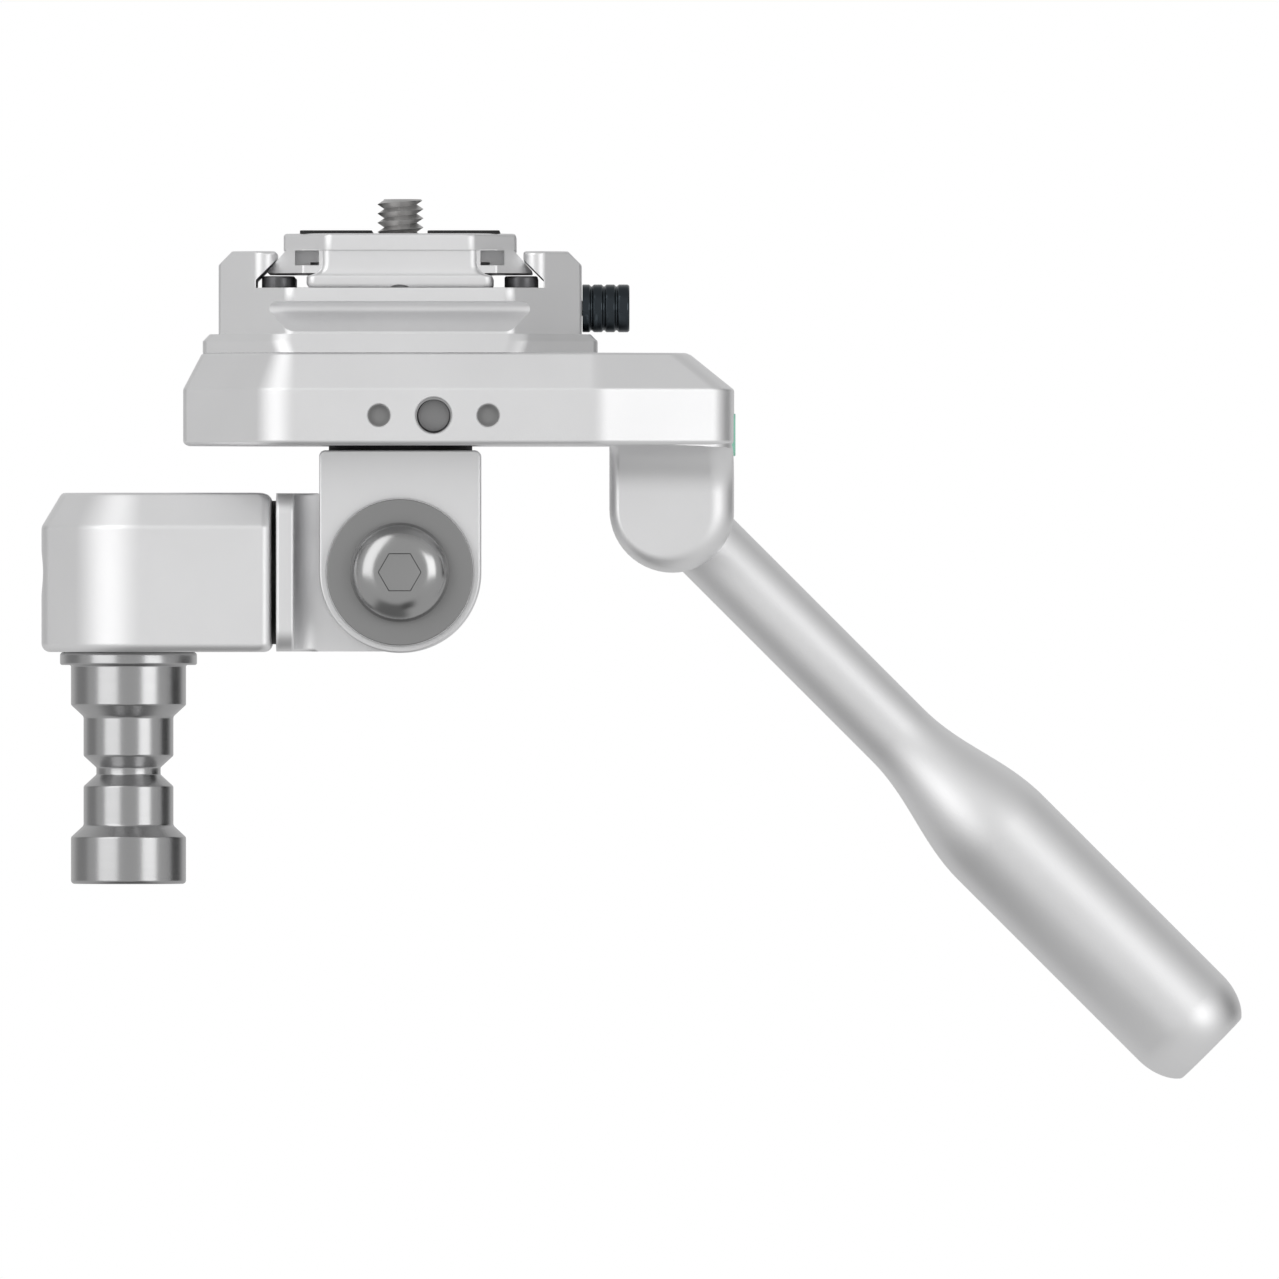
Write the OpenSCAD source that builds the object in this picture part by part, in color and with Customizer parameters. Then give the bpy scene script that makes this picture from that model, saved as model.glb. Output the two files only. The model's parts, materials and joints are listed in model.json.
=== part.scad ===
// Three-way pan tilt head on a 5/8 inch spigot, in millimetres.
// The origin is on the spigot's axis, at the underside of its collar. +X runs towards the handle,
// +Y away from the front with the round tilt screw, and +Z towards the camera.

/* [Spigot] */
// Radius of the spigot's wide bands
spigot_r = 7.94; // [7:0.02:9]
// Length of the spigot under its collar
spigot_len = 30.2; // [28:0.1:45]
// Radius of the two waists
spigot_waist_r = 6.2; // [5.5:0.1:6.6]
// Radius of the groove between the waists
spigot_groove_r = 4.44; // [3.5:0.02:5.2]
// Height of the upper wide band
spigot_band_h = 5.5; // [4:0.1:8]
// Height of each waist
spigot_waist_h = 5.4; // [4:0.1:6]
// Height of each taper
spigot_taper_h = 1.62; // [1.2:0.02:1.8]
// Height of the groove
spigot_groove_h = 0.97; // [0.6:0.01:1.4]
// Radius of the collar
collar_r = 9.45; // [9:0.05:10.5]
// Height of the collar
collar_h = 1.66; // [1.3:0.02:3]
// Radius of the threaded tenon in the block
tenon_r = 4.76; // [4:0.02:5]
// Height of the tenon
tenon_h = 6.4; // [5:0.1:7]

/* [Base block] */
// Height of the block
block_h = 21.95; // [21:0.05:26]
// Depth of the block
block_d = 28; // [26:0.5:30]
// Distance from the spigot's axis to the round end
block_left = 11.94; // [11.5:0.02:16]
// Distance from the spigot's axis to the flat end
block_right = 19.8; // [17:0.1:30]
// Inset of the sloping top edge
block_slope_in = 2.8; // [1.5:0.1:4]
// Height of the sloping top edge
block_slope_h = 4.7; // [3:0.1:6]

/* [Roll joint] */
// Inset of the black friction discs from the fork's round end
disc_in = 1.2; // [0.6:0.1:2]
// Thickness of the roll and pan discs
disc_t = 0.68; // [0.4:0.01:1.2]
// Shank radius of the roll and pan screws
axle_r = 3; // [2.5:0.1:3.3]
// Head radius of the roll and pan screws
axle_head_r = 4.8; // [4.2:0.1:5]
// Head height of the roll and pan screws
axle_head_h = 3.2; // [2.5:0.1:3.6]
// Thickness of the knuckle's flange
flange_t = 2.5; // [2:0.1:4]

/* [Tilt joint] */
// Distance from the flange to the tilt axis
web_len = 14.56; // [14.5:0.02:18]
// Thickness of the knuckle's tongue
tongue_t = 14; // [12:0.5:16]
// How far the fork's round end stands out over the block's foot
fork_out = 0.125; // [0:0.005:0.5]
// Height from the tilt axis to the fork's flat top
fork_rise = 16.8; // [16:0.1:22]
// Thickness of each ear of the fork
ear_t = 5.5; // [4.5:0.1:7]
// Thickness of the two discs beside the tongue
side_disc_t = 0.5; // [0.3:0.05:0.8]
// Shank radius of the tilt screw
tilt_screw_r = 4; // [3.5:0.1:4.4]
// Radius of the tilt screw's round head
tilt_head_r = 6.87; // [6.2:0.01:7.5]
// Height of the tilt screw's round head
tilt_head_h = 4.4; // [4:0.1:5]
// Inset of the flat washers from the fork's round end
washer_in = 1.03; // [0.6:0.01:2]
// Thickness of the flat washers
washer_t = 1.6; // [1:0.1:2]

/* [Main body] */
// Reach of the body to the left of the pan axis
body_left = 29.88; // [27:0.02:33]
// Reach of the arm to the right of the pan axis
body_right = 46.23; // [44:0.01:60]
// Depth of the body
body_d = 46; // [45:0.5:52]
// Height of the body
body_h = 12.7; // [12:0.1:16]
// Width of the slanted corners
body_corner = 12.4; // [11:0.1:14]
// Where the arm's front starts to draw in, right of the pan axis
taper_from = 27.5; // [24:0.1:30]
// Angle of the arm's drawn-in sides
taper_angle = 18.5; // [12:0.5:20]
// Inset of the sloping top edge
body_slope_in = 2.6; // [2:0.1:3.5]
// Inset of the slope at the arm's end
body_slope_end = 6.2; // [4:0.1:8]
// Height of the sloping top edge
body_slope_h = 5; // [3:0.1:6]
// Radius of the lug under the arm
lug_r = 8.7; // [8:0.1:10]
// Depth of the lug
lug_d = 25; // [22:0.5:27]
// Drop from the body's underside to the lug's centre
lug_drop = 8.8; // [8:0.1:14]
// Radius of the hollow fillet over the lug's faces
lug_fillet_r = 6.5; // [5:0.1:6.5]

/* [Front holes] */
// Wall radius of the tapped accessory hole
tap_r = 2.5; // [2.4:0.05:2.6]
// Depth of the tapped hole
tap_depth = 8; // [6:0.5:10]
// Radius of the two locating holes
pin_hole_r = 1.55; // [1.4:0.05:2]
// Depth of the locating holes
pin_hole_depth = 4; // [3:0.5:5]
// Distance between the locating holes
pin_hole_pitch = 15; // [13:0.5:20]

/* [Handle] */
// Angle of the handle below level
handle_angle = 45; // [35:1:55]
// Radius of the stem
stem_r = 5.07; // [4.5:0.01:5.5]
// Distance from the lug's centre to the end of the stem
stem_len = 44; // [40:1:60]
// Length of the flare between stem and grip
flare_len = 20; // [14:0.5:26]
// Radius of the grip
grip_r = 8.25; // [7.5:0.05:9]
// Length of the grip with its rounded end
grip_len = 41.2; // [36:0.1:60]
// Length of the grip's drawn-in end
grip_end_len = 6; // [4:0.1:8]
// Inset of the grip's end face
grip_end_in = 2.4; // [1.5:0.1:3.5]

/* [Clamp] */
// Height of the platform
platform_h = 2.62; // [2:0.02:5]
// Step from the platform's side to the clamp's side
platform_step = 2.2; // [1:0.1:3]
// Depth of the clamp
clamp_d = 38; // [36:0.5:40]
// Height of the clamp's jaws
clamp_h = 11.4; // [11:0.1:13]
// Height of the clamp's floor
floor_h = 6.35; // [6.2:0.05:7]
// Width of the slanted corners
clamp_corner = 9.7; // [8.5:0.1:10.5]
// Depth of the scoop in the front and back
scoop_in = 2.6; // [2:0.1:3.5]
// Half width between the jaws' upper edges
jaw_half = 17; // [16.8:0.05:17.4]
// Reach of the channel under each jaw
jaw_undercut = 2.8; // [2.6:0.05:3]
// Thickness of each jaw beside the channel
jaw_wall = 5.2; // [4.2:0.1:6.2]
// Height of the channel's upright foot
groove_foot = 1.05; // [0.8:0.05:1.3]
// Head radius of the clamp's screws
clamp_head_r = 2.3; // [2:0.05:2.4]
// Head height of the clamp's screws
clamp_head_h = 1.6; // [1.2:0.1:1.7]
// Shank radius of the clamp's screws
clamp_screw_r = 1.5; // [1.2:0.1:1.6]

/* [Quick release plate] */
// Clearance between the plate's top block and each jaw
plate_play = 1; // [0.8:0.05:1.5]
// Length of the plate
plate_d = 38; // [36:0.5:44]
// Height of the plate
plate_h = 7.45; // [7:0.05:9]
// Clearance between the dovetail's tips and the channel's sides
dovetail_play = 1.6; // [1.4:0.05:1.8]
// Height of the dovetail's underside over the pad's foot
wing_rise = 2; // [1.9:0.05:2.2]
// Height of the top block's underside
block_rise = 5.1; // [4.8:0.05:5.4]
// Step from the top block's side to the foot's side
foot_in = 3.2; // [2.6:0.1:3.6]
// Radius of the camera screw
camera_r = 3.175; // [3:0.005:4.8]
// Reach of the camera screw over the plate
camera_reach = 4.9; // [4.5:0.1:6]
// Thickness of the rubber pads
rubber_t = 0.45; // [0.3:0.05:1]

/* [Release] */
// Radius of the pull knob
knob_r = 3.4; // [3:0.1:3.6]
// Length of the pull knob
knob_len = 6.55; // [5.5:0.05:9]
// Height of the knob's axis over the platform
knob_rise = 3.65; // [3.6:0.01:3.8]
// Travel of the knob and of the lock pin
pull_travel = 1.4; // [1:0.1:1.5]
// Radius of the lock pin
lock_r = 1.8; // [1.5:0.1:1.9]

/* [Hidden] */

// Thickness of the thin slices that a hull joins
skin = 0.01;
// Overrun of every cut
over = 1;
// Radial clearance of a shaft in its bore
fit = 0.08;
// Clearance of a thread in its tapped hole
thread_fit = 0.04;
// Small chamfer on turned edges
edge = 0.4;
// Segments of a rounded corner
corner_steps = 6;
// Sides of the round solids that a hull joins
hull_sides = 32;

// Heights and places up the stack
seat_h = 0.13;
seat_r = 7;
block_z = collar_h + seat_h;
axis_z = block_z + block_h / 2;
flange_x = block_right + disc_t;
tilt_x = flange_x + flange_t + web_len;
fork_d = tongue_t + 2 * side_disc_t + 2 * ear_t;
fork_top = axis_z + fork_rise;
body_z = fork_top + disc_t;
body_top = body_z + body_h;
platform_z = body_top;
clamp_z = platform_z + platform_h;
floor_z = clamp_z + floor_h;
plate_top = floor_z + plate_h;

// Base block
block_cut = 8.6;
block_cut_r = 13;
block_left_r = 3.5;
block_end_r = 1.4;
block_round = 1.2;

// Roll joint
roll_recess_r = axle_head_r + 0.4;
roll_recess_depth = 4.9;
spring_washer_t = 0.5;
spring_washer_cone = 0.3;
spring_washer_r = axle_head_r + 0.2;
roll_thread_len = 9.6;
web_fillet_r = 3.2;
flange_corner_r = 3;
hex_key_share = 0.5;

// Tilt joint
tongue_in = 0.2;
fork_r = block_h / 2 + fork_out;
tongue_r = fork_r - tongue_in;
disc_r = fork_r - disc_in;
washer_r = fork_r - washer_in;
roof_gap = 1.1;
fork_corner_r = 0.8;
tilt_shank_tip = 1.2;
nut_flats = 13;
nut_h = 7.6;
tilt_key_flats = 5;
key_depth = 2.2;

// Pan joint
pan_recess_r = 7;
pan_floor_t = 6;

// Main body
body_bottom_round = 0.7;
body_corner_r = 7.6;
body_left_r = 2;
arm_end_r = 4.3;
arm_end_bow = 0.6;
arm_bow_r = 300;
front_hole_x = 4.69;
front_hole_rise = 4.07;
lug_edge_r = 3.2;
lug_edge_steps = 3;
inlay_w = 14;
inlay_h = 5.8;
inlay_t = 0.5;
inlay_r = 1.2;
inlay_rise = 1.5;

// Handle
socket_from = 5;
stud_r = 3;
stud_in_lug = 8;
stud_in_stem = 14;
set_screw_r = 1.5;
set_screw_len = 4;
flare_steps = 12;
grip_end_steps = 5;

// Clamp and platform
groove_half = jaw_half + jaw_undercut;
clamp_w = 2 * (groove_half + jaw_wall);
platform_w = clamp_w + 2 * platform_step;
platform_d = body_d - 2 * body_slope_in;
platform_edge = 0.97;
platform_corner = 11.2;
platform_corner_r = 4.3;
clamp_corner_r = 2.3;
jaw_edge = 2;
jaw_nose_r = 1.8;
jaw_inner_edge = 0.35;
lip_t = 1.93;
scoop_foot = 0.3;
scoop_back_h = 1.35;
clamp_head_wall = 0.8;
clamp_screw_x = groove_half - clamp_head_r - clamp_head_wall;
clamp_screw_y = 13;
clamp_screw_tip = 8.5;

// Plate
plate_w = 2 * (jaw_half - plate_play);
dovetail_w = 2 * (groove_half - dovetail_play);
pad_half = plate_w / 2 - foot_in;
wing_tip_h = 0.2;
plate_corner = 6.1;
plate_edge = 0.5;
tongue_side = 1.8;
tongue_half = pad_half - tongue_side;
shoulder_in = 1.2;
pocket_w = 3.3;
pocket_h = 2.05;
pocket_in = 3.25;
pocket_x = plate_w / 2 - pocket_in;
pocket_depth = 9;
camera_head_h = 2.4;
camera_head_gap = 0.4;
camera_neck_in = 0.2;
slot_w = 1.6;
slot_depth = 1.2;
notch_r = 2.7;
notch_h = 0.41;
notch_len = 3;
rubber_in = 3.8;
rubber_edge = 2.25;
rubber_out = plate_w / 2 - rubber_edge;
rubber_len = 31;

// Release
rod_r = 1.9;
rod_neck_r = 1.05;
rod_head_len = 4.2;
release_bore_r = 2;
lock_wall = 0.8;
lock_x = pad_half - lock_r - lock_wall;
camera_head_wall = 1.4;
camera_head_r = lock_x - lock_r - camera_head_wall;
lock_lift = 0.35;
lock_spare = 0.2;
lock_reach = pull_travel - lock_spare;
ramp_gap = 0.06;
bush_r = 2.6;
bush_len = 4;
knob_gap = 0.1;
knob_ridges = 4;
knob_groove = 0.4;
spring_wire_r = 0.25;
spring_turns = 5;
spring_steps = 8;
spring_sides = 6;

// Points of an arc about c, from one angle to another
function arc(c, r, from, to, steps) =
    [for (i = [0:steps]) let (a = from + (to - from) * i / steps) c + r * [cos(a), sin(a)]];

// Corner q of the outline p-q-s, rounded with radius r
function unit(v) = v / norm(v);
function rounded(p, q, s, r) =
    let (u = unit(p - q), v = unit(s - q), half = acos(u * v) / 2)
    let (c = q + unit(u + v) * r / sin(half), t = q + u * r / tan(half) - c, e = q + v * r / tan(half) - c)
    let (from = atan2(t.y, t.x), turn = (atan2(e.y, e.x) - from + 180 + 360) % 360 - 180)
    arc(c, r, from, from + turn, corner_steps);

// Outline through the corners, each rounded with its own radius, or left sharp where that is zero
function outline(corners, radii) =
    let (n = len(corners))
    [for (i = [0:n - 1])
        each radii[i] > 0
            ? rounded(corners[(i + n - 1) % n], corners[i], corners[(i + 1) % n], radii[i])
            : [corners[i]]];

// Outline of eight sides: a rectangle whose corners are cut at 45 degrees, then rounded
function eight_sides(x0, x1, half, cut, r) =
    outline(
        [[x0, -half + cut], [x0 + cut, -half], [x1 - cut, -half], [x1, -half + cut],
         [x1, half - cut], [x1 - cut, half], [x0 + cut, half], [x0, half - cut]],
        [r / 2, r, r, r / 2, r / 2, r, r, r / 2]);

// How much a 45 degree corner cut shrinks when the outline is drawn in by d
function drawn_cut(cut, d) = cut - (2 - sqrt(2)) * d;

// Thin slice of an outline at height z, for a hull
module slice(points, z) {
    translate([0, 0, z]) linear_extrude(skin) polygon(points);
}

// Profile in the XZ plane, extruded along Y and centred on it
module along_y(depth) {
    rotate([90, 0, 0]) linear_extrude(depth, center = true) children();
}

// Hollow cone of a spring washer, standing on z = 0
module spring_washer(hole_r) {
    rotate_extrude($fn = 48)
        polygon([[hole_r, spring_washer_cone], [spring_washer_r, 0],
            [spring_washer_r, spring_washer_t], [hole_r, spring_washer_t + spring_washer_cone]]);
}

// Screw with a flat-faced round head and a hexagon socket, head upwards, its seat at z = 0
module socket_screw(shank_r, shank_len, head_r, head_h) {
    difference() {
        union() {
            rotate_extrude($fn = 48)
                polygon([[0, 0], [head_r, 0], [head_r, head_h - edge], [head_r - edge, head_h],
                    [0, head_h]]);
            translate([0, 0, -shank_len]) cylinder(r = shank_r, h = shank_len + skin, $fn = 48);
        }
        translate([0, 0, head_h * hex_key_share]) cylinder(r = head_r * hex_key_share, h = head_h, $fn = 6);
    }
}

module spigot() {
    foot_h = spigot_len - edge - spigot_band_h - 2 * spigot_waist_h - 4 * spigot_taper_h - spigot_groove_h;
    z1 = edge - spigot_len;
    z2 = z1 + foot_h;
    z3 = z2 + spigot_taper_h;
    z4 = z3 + spigot_waist_h;
    z5 = z4 + spigot_taper_h;
    z6 = z5 + spigot_groove_h;
    z7 = z6 + spigot_taper_h;
    z8 = z7 + spigot_waist_h;
    color("gainsboro") rotate_extrude($fn = 96) polygon([
        [0, -spigot_len], [spigot_r - edge, -spigot_len], [spigot_r, z1], [spigot_r, z2],
        [spigot_waist_r, z3], [spigot_waist_r, z4], [spigot_groove_r, z5], [spigot_groove_r, z6],
        [spigot_waist_r, z7], [spigot_waist_r, z8], [spigot_r, -spigot_band_h], [spigot_r, 0],
        [collar_r - edge, 0], [collar_r, edge], [collar_r, collar_h - edge], [collar_r - edge, collar_h],
        [seat_r, collar_h], [seat_r, block_z], [tenon_r, block_z],
        [tenon_r, block_z + tenon_h - edge], [tenon_r - edge, block_z + tenon_h], [0, block_z + tenon_h]]);
}

// Plan of the block, drawn in by d; it overruns the flat end, which is cut off afterwards
function block_plan(d) =
    let (half = block_d / 2 - d, left = d - block_left, right = block_right + block_slope_in + over - d)
    let (cut = drawn_cut(block_cut, d))
    outline(
        [[left, -half + cut], [left + cut, -half], [right, -half],
         [right, half], [left + cut, half], [left, half - cut]],
        [block_left_r, block_cut_r - d, block_end_r, block_end_r, block_cut_r - d, block_left_r]);

// Flat end of the block between two levels, with rounded edges
function block_end(from, to) =
    let (left = -block_left - over)
    outline([[left, from], [block_right, from], [block_right, to], [left, to]],
        [0, block_end_r, block_end_r, 0]);

module base_block() {
    color("silver") difference() {
        intersection() {
            hull() {
                slice(block_plan(block_round), block_z);
                slice(block_plan(block_round / 3), block_z + block_round / 3);
                translate([0, 0, block_z + block_round])
                    linear_extrude(block_h - block_slope_h - block_round) polygon(block_plan(0));
                slice(block_plan(block_slope_in), block_z + block_h - skin);
            }
            translate([0, 0, block_z - over]) linear_extrude(block_h + 2 * over)
                polygon(block_end(-block_d / 2 - 2 * skin, block_d / 2 + 2 * skin));
            along_y(2 * block_d) polygon(block_end(block_z - 2 * skin, block_z + block_h + 2 * skin));
        }
        translate([0, 0, block_z - over])
            cylinder(r = tenon_r + thread_fit, h = tenon_h + over + edge, $fn = 64);
        translate([-block_left - over, 0, axis_z]) rotate([0, 90, 0]) {
            cylinder(r = axle_r + fit, h = block_left + block_right + 2 * over, $fn = 64);
            cylinder(r = roll_recess_r, h = roll_recess_depth + over, $fn = 64);
        }
    }
}

module roll_washers() {
    color("dimgray") translate([roll_recess_depth - block_left, 0, axis_z]) rotate([0, -90, 0])
        spring_washer(axle_r + fit);
}

module roll_screw() {
    seat_x = roll_recess_depth - block_left - spring_washer_t - spring_washer_cone;
    color("dimgray") translate([seat_x, 0, axis_z]) rotate([0, -90, 0])
        socket_screw(axle_r, flange_x + roll_thread_len - seat_x, axle_head_r, axle_head_h);
}

module roll_disc() {
    color("black") translate([block_right, 0, axis_z]) rotate([0, 90, 0]) difference() {
        cylinder(r = disc_r, h = disc_t, $fn = 96);
        translate([0, 0, -over]) cylinder(r = axle_r + fit, h = disc_t + 2 * over, $fn = 64);
    }
}

module knuckle() {
    half = tongue_t / 2;
    fillet_x = flange_x + flange_t + web_fillet_r;
    flange_half = block_d / 2;
    flange_r = flange_corner_r;
    color("silver") difference() {
        union() {
            translate([flange_x, 0, axis_z]) rotate([90, 0, 90]) linear_extrude(flange_t)
                polygon(outline(
                    [[-flange_half, -tongue_r], [flange_half, -tongue_r],
                     [flange_half, tongue_r], [-flange_half, tongue_r]],
                    [flange_r, flange_r, flange_r, flange_r]));
            translate([0, 0, axis_z]) intersection() {
                translate([0, 0, -tongue_r]) linear_extrude(2 * tongue_r)
                    polygon(concat(
                        arc([fillet_x, half + web_fillet_r], web_fillet_r, 180, 270, corner_steps),
                        [[tilt_x + tongue_r + over, half], [tilt_x + tongue_r + over, -half]],
                        arc([fillet_x, -half - web_fillet_r], web_fillet_r, 90, 180, corner_steps),
                        [[flange_x + flange_t / 2, -half - web_fillet_r],
                         [flange_x + flange_t / 2, half + web_fillet_r]]));
                union() {
                    translate([flange_x, -flange_half, -tongue_r])
                        cube([tilt_x - flange_x, block_d, 2 * tongue_r]);
                    translate([tilt_x, 0, 0]) rotate([90, 0, 0])
                        cylinder(r = tongue_r, h = block_d, center = true, $fn = 96);
                }
            }
        }
        translate([flange_x - over, 0, axis_z]) rotate([0, 90, 0])
            cylinder(r = axle_r + thread_fit, h = roll_thread_len + edge + over, $fn = 64);
        translate([tilt_x, 0, axis_z]) rotate([90, 0, 0])
            cylinder(r = tilt_screw_r + fit, h = tongue_t + 2 * over, center = true, $fn = 64);
    }
}

module tilt_discs() {
    color("black") for (side = [-1, 1])
        translate([tilt_x, side * (tongue_t + side_disc_t) / 2, axis_z]) rotate([90, 0, 0]) difference() {
            cylinder(r = disc_r, h = side_disc_t, center = true, $fn = 96);
            cylinder(r = tilt_screw_r + fit, h = side_disc_t + 2 * over, center = true, $fn = 64);
        }
}

module fork() {
    slot = tongue_t + 2 * side_disc_t;
    color("silver") difference() {
        translate([tilt_x, 0, axis_z]) along_y(fork_d) {
            circle(r = fork_r, $fn = 128);
            polygon(concat([[fork_r, 0]],
                rounded([fork_r, 0], [fork_r, fork_rise], [0, fork_rise], fork_corner_r),
                rounded([0, fork_rise], [-fork_r, fork_rise], [-fork_r, 0], fork_corner_r),
                [[-fork_r, 0]]));
        }
        translate([tilt_x - fork_r - over, -slot / 2, axis_z - fork_r - over])
            cube([2 * (fork_r + over), slot, 2 * fork_r + over + roof_gap]);
        translate([tilt_x, 0, axis_z]) rotate([90, 0, 0])
            cylinder(r = tilt_screw_r + fit, h = fork_d + 2 * over, center = true, $fn = 64);
        translate([tilt_x, 0, axis_z]) cylinder(r = axle_r + thread_fit, h = fork_rise + over, $fn = 64);
    }
}

module tilt_washers() {
    color("gray") for (side = [-1, 1])
        translate([tilt_x, side * (fork_d + washer_t) / 2, axis_z]) rotate([90, 0, 0]) difference() {
            cylinder(r = washer_r, h = washer_t, center = true, $fn = 96);
            cylinder(r = tilt_screw_r + fit, h = washer_t + 2 * over, center = true, $fn = 64);
        }
}

// Domed head with a rim, on the front; the shank runs back through the nut
module tilt_screw() {
    seat = fork_d / 2 + washer_t;
    rim_h = tilt_head_h / 6;
    flat_r = tilt_key_flats / 2 + edge;
    dome = [for (i = [0:corner_steps]) let (a = 90 * i / corner_steps)
        [flat_r + (tilt_head_r - flat_r) * cos(a), rim_h + (tilt_head_h - rim_h) * sin(a)]];
    color("gainsboro") translate([tilt_x, 0, axis_z]) rotate([90, 0, 0]) difference() {
        union() {
            translate([0, 0, seat]) rotate_extrude($fn = 96)
                polygon(concat([[0, 0], [tilt_head_r, 0]], dome, [[0, tilt_head_h]]));
            translate([0, 0, -seat - nut_h - tilt_shank_tip])
                cylinder(r = tilt_screw_r, h = 2 * seat + nut_h + tilt_shank_tip + rim_h, $fn = 64);
        }
        translate([0, 0, seat + tilt_head_h - key_depth])
            cylinder(r = tilt_key_flats / sqrt(3), h = key_depth + over, $fn = 6);
    }
}

module tilt_nut() {
    nut_corner_r = nut_flats / sqrt(3);
    color("gainsboro") translate([tilt_x, fork_d / 2 + washer_t, axis_z]) rotate([-90, 0, 0]) difference() {
        intersection() {
            cylinder(r = nut_corner_r, h = nut_h, $fn = 6);
            rotate_extrude($fn = 64) polygon([[0, 0], [nut_flats / 2 + edge, 0], [nut_corner_r, edge],
                [nut_corner_r, nut_h - 3 * edge], [nut_flats / 2 - edge, nut_h], [0, nut_h]]);
        }
        translate([0, 0, -over]) cylinder(r = tilt_screw_r + thread_fit, h = nut_h + 2 * over, $fn = 64);
    }
}

module pan_disc() {
    color("black") translate([tilt_x, 0, fork_top]) difference() {
        cylinder(r = disc_r, h = disc_t, $fn = 96);
        translate([0, 0, -over]) cylinder(r = axle_r + fit, h = disc_t + 2 * over, $fn = 64);
    }
}

module pan_screw() {
    seat_z = body_z + pan_floor_t + spring_washer_t + spring_washer_cone;
    color("dimgray") translate([tilt_x, 0, seat_z])
        socket_screw(axle_r, seat_z - axis_z - fork_r - roof_gap, axle_head_r, axle_head_h);
}

module pan_washers() {
    color("dimgray") translate([tilt_x, 0, body_z + pan_floor_t]) spring_washer(axle_r + fit);
}

// Plan of the body, its sides drawn in by d and its arm's end by end_in, round the pan axis
function body_plan(d, end_in) =
    let (half = body_d / 2 - d, left = d - body_left, cut = drawn_cut(body_corner, d))
    let (bend_x = taper_from - d * tan(taper_angle / 2), end_x = body_right - arm_end_bow - end_in)
    let (end_y = half - (end_x - bend_x) * tan(taper_angle), r = body_corner_r - d)
    outline(
        [[left, -half + cut], [left + cut, -half], [bend_x, -half], [end_x, -end_y],
         [end_x + arm_end_bow, 0], [end_x, end_y], [bend_x, half], [left + cut, half], [left, half - cut]],
        [body_left_r, r, r, arm_end_r, arm_bow_r, arm_end_r, r, r, body_left_r]);

// Lug with rounded edges, about its own centre
module lug_shape() {
    flat_w = 2 * (lug_r - lug_edge_r);
    flat_d = lug_d - 2 * lug_edge_r;
    hull() {
        for (i = [0:lug_edge_steps])
            let (a = 90 * i / lug_edge_steps)
            rotate([90, 0, 0])
                cylinder(r = lug_r - lug_edge_r * (1 - cos(a)), h = lug_d - 2 * lug_edge_r * (1 - sin(a)),
                    center = true, $fn = hull_sides);
        translate([-lug_r, -flat_d / 2, lug_drop]) cube([2 * lug_r, flat_d, skin]);
        translate([-flat_w / 2, -lug_d / 2, lug_drop]) cube([flat_w, lug_d, skin]);
    }
}

// Profile of the hollow fillet between the lug's face and the body's underside, in YZ
function lug_fillet_profile() =
    let (face = lug_d / 2, r = lug_fillet_r)
    concat([[face - lug_edge_r, body_bottom_round], [face - lug_edge_r, -r]],
        arc([face + r, -r], r, 180, 90, corner_steps), [[face + r, body_bottom_round]]);

// Everything in the lug's socket axis frame: z runs down the handle from the lug's centre
module at_handle() {
    translate([tilt_x + body_right - lug_r, 0, body_z - lug_drop]) rotate([0, 90 + handle_angle, 0])
        children();
}

module main_body() {
    hole_z = front_hole_rise;
    color("silver") difference() {
        translate([tilt_x, 0, body_z]) {
            hull() {
                slice(body_plan(body_bottom_round, body_bottom_round), 0);
                slice(body_plan(0, 0), body_bottom_round);
                slice(body_plan(0, 0), body_h - body_slope_h);
                slice(body_plan(body_slope_in, body_slope_end), body_h - skin);
            }
            translate([body_right - lug_r, 0, -lug_drop]) lug_shape();
            // Hollow fillets over the lug's front and back
            for (side = [-1, 1]) intersection() {
                translate([body_right - 2 * lug_r, 0, 0]) rotate([90, 0, 90]) linear_extrude(2 * lug_r)
                    polygon([for (p = lug_fillet_profile()) [side * p.x, p.y]]);
                translate([0, 0, -lug_fillet_r - over]) linear_extrude(lug_fillet_r + 2 * over)
                    polygon(body_plan(body_bottom_round, body_bottom_round));
            }
        }
        // Pan axle bore and the recess for its head
        translate([tilt_x, 0, body_z]) {
            translate([0, 0, -over]) cylinder(r = axle_r + fit, h = body_h + 2 * over, $fn = 64);
            translate([0, 0, pan_floor_t]) cylinder(r = pan_recess_r, h = body_h, $fn = 64);
        }
        // Tapped hole and the two locating holes beside it, in the front
        translate([tilt_x + front_hole_x, -body_d / 2, body_z + hole_z]) rotate([-90, 0, 0]) {
            translate([0, 0, -over]) cylinder(r = tap_r, h = tap_depth + over, $fn = 64);
            for (side = [-1, 1]) translate([side * pin_hole_pitch / 2, 0, -over])
                cylinder(r = pin_hole_r, h = pin_hole_depth + over, $fn = 48);
        }
        // Threads of the clamp's screws
        translate([tilt_x, 0, body_top - clamp_screw_tip - edge]) at_clamp_screws()
            cylinder(r = clamp_screw_r + thread_fit, h = clamp_screw_tip + edge + over, $fn = 32);
        // Socket and thread of the handle, and its set screw under the lug
        at_handle() {
            translate([0, 0, socket_from]) cylinder(r = stem_r + thread_fit, h = 2 * lug_r, $fn = 64);
            translate([0, 0, -stud_in_lug + socket_from - edge])
                cylinder(r = stud_r + thread_fit, h = stud_in_lug + over, $fn = 48);
        }
        set_screw_place() cylinder(r = set_screw_r + thread_fit, h = 2 * lug_r, $fn = 32);
        // Seat of the inlay
        inlay_shape(thread_fit, over);
    }
}

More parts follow.
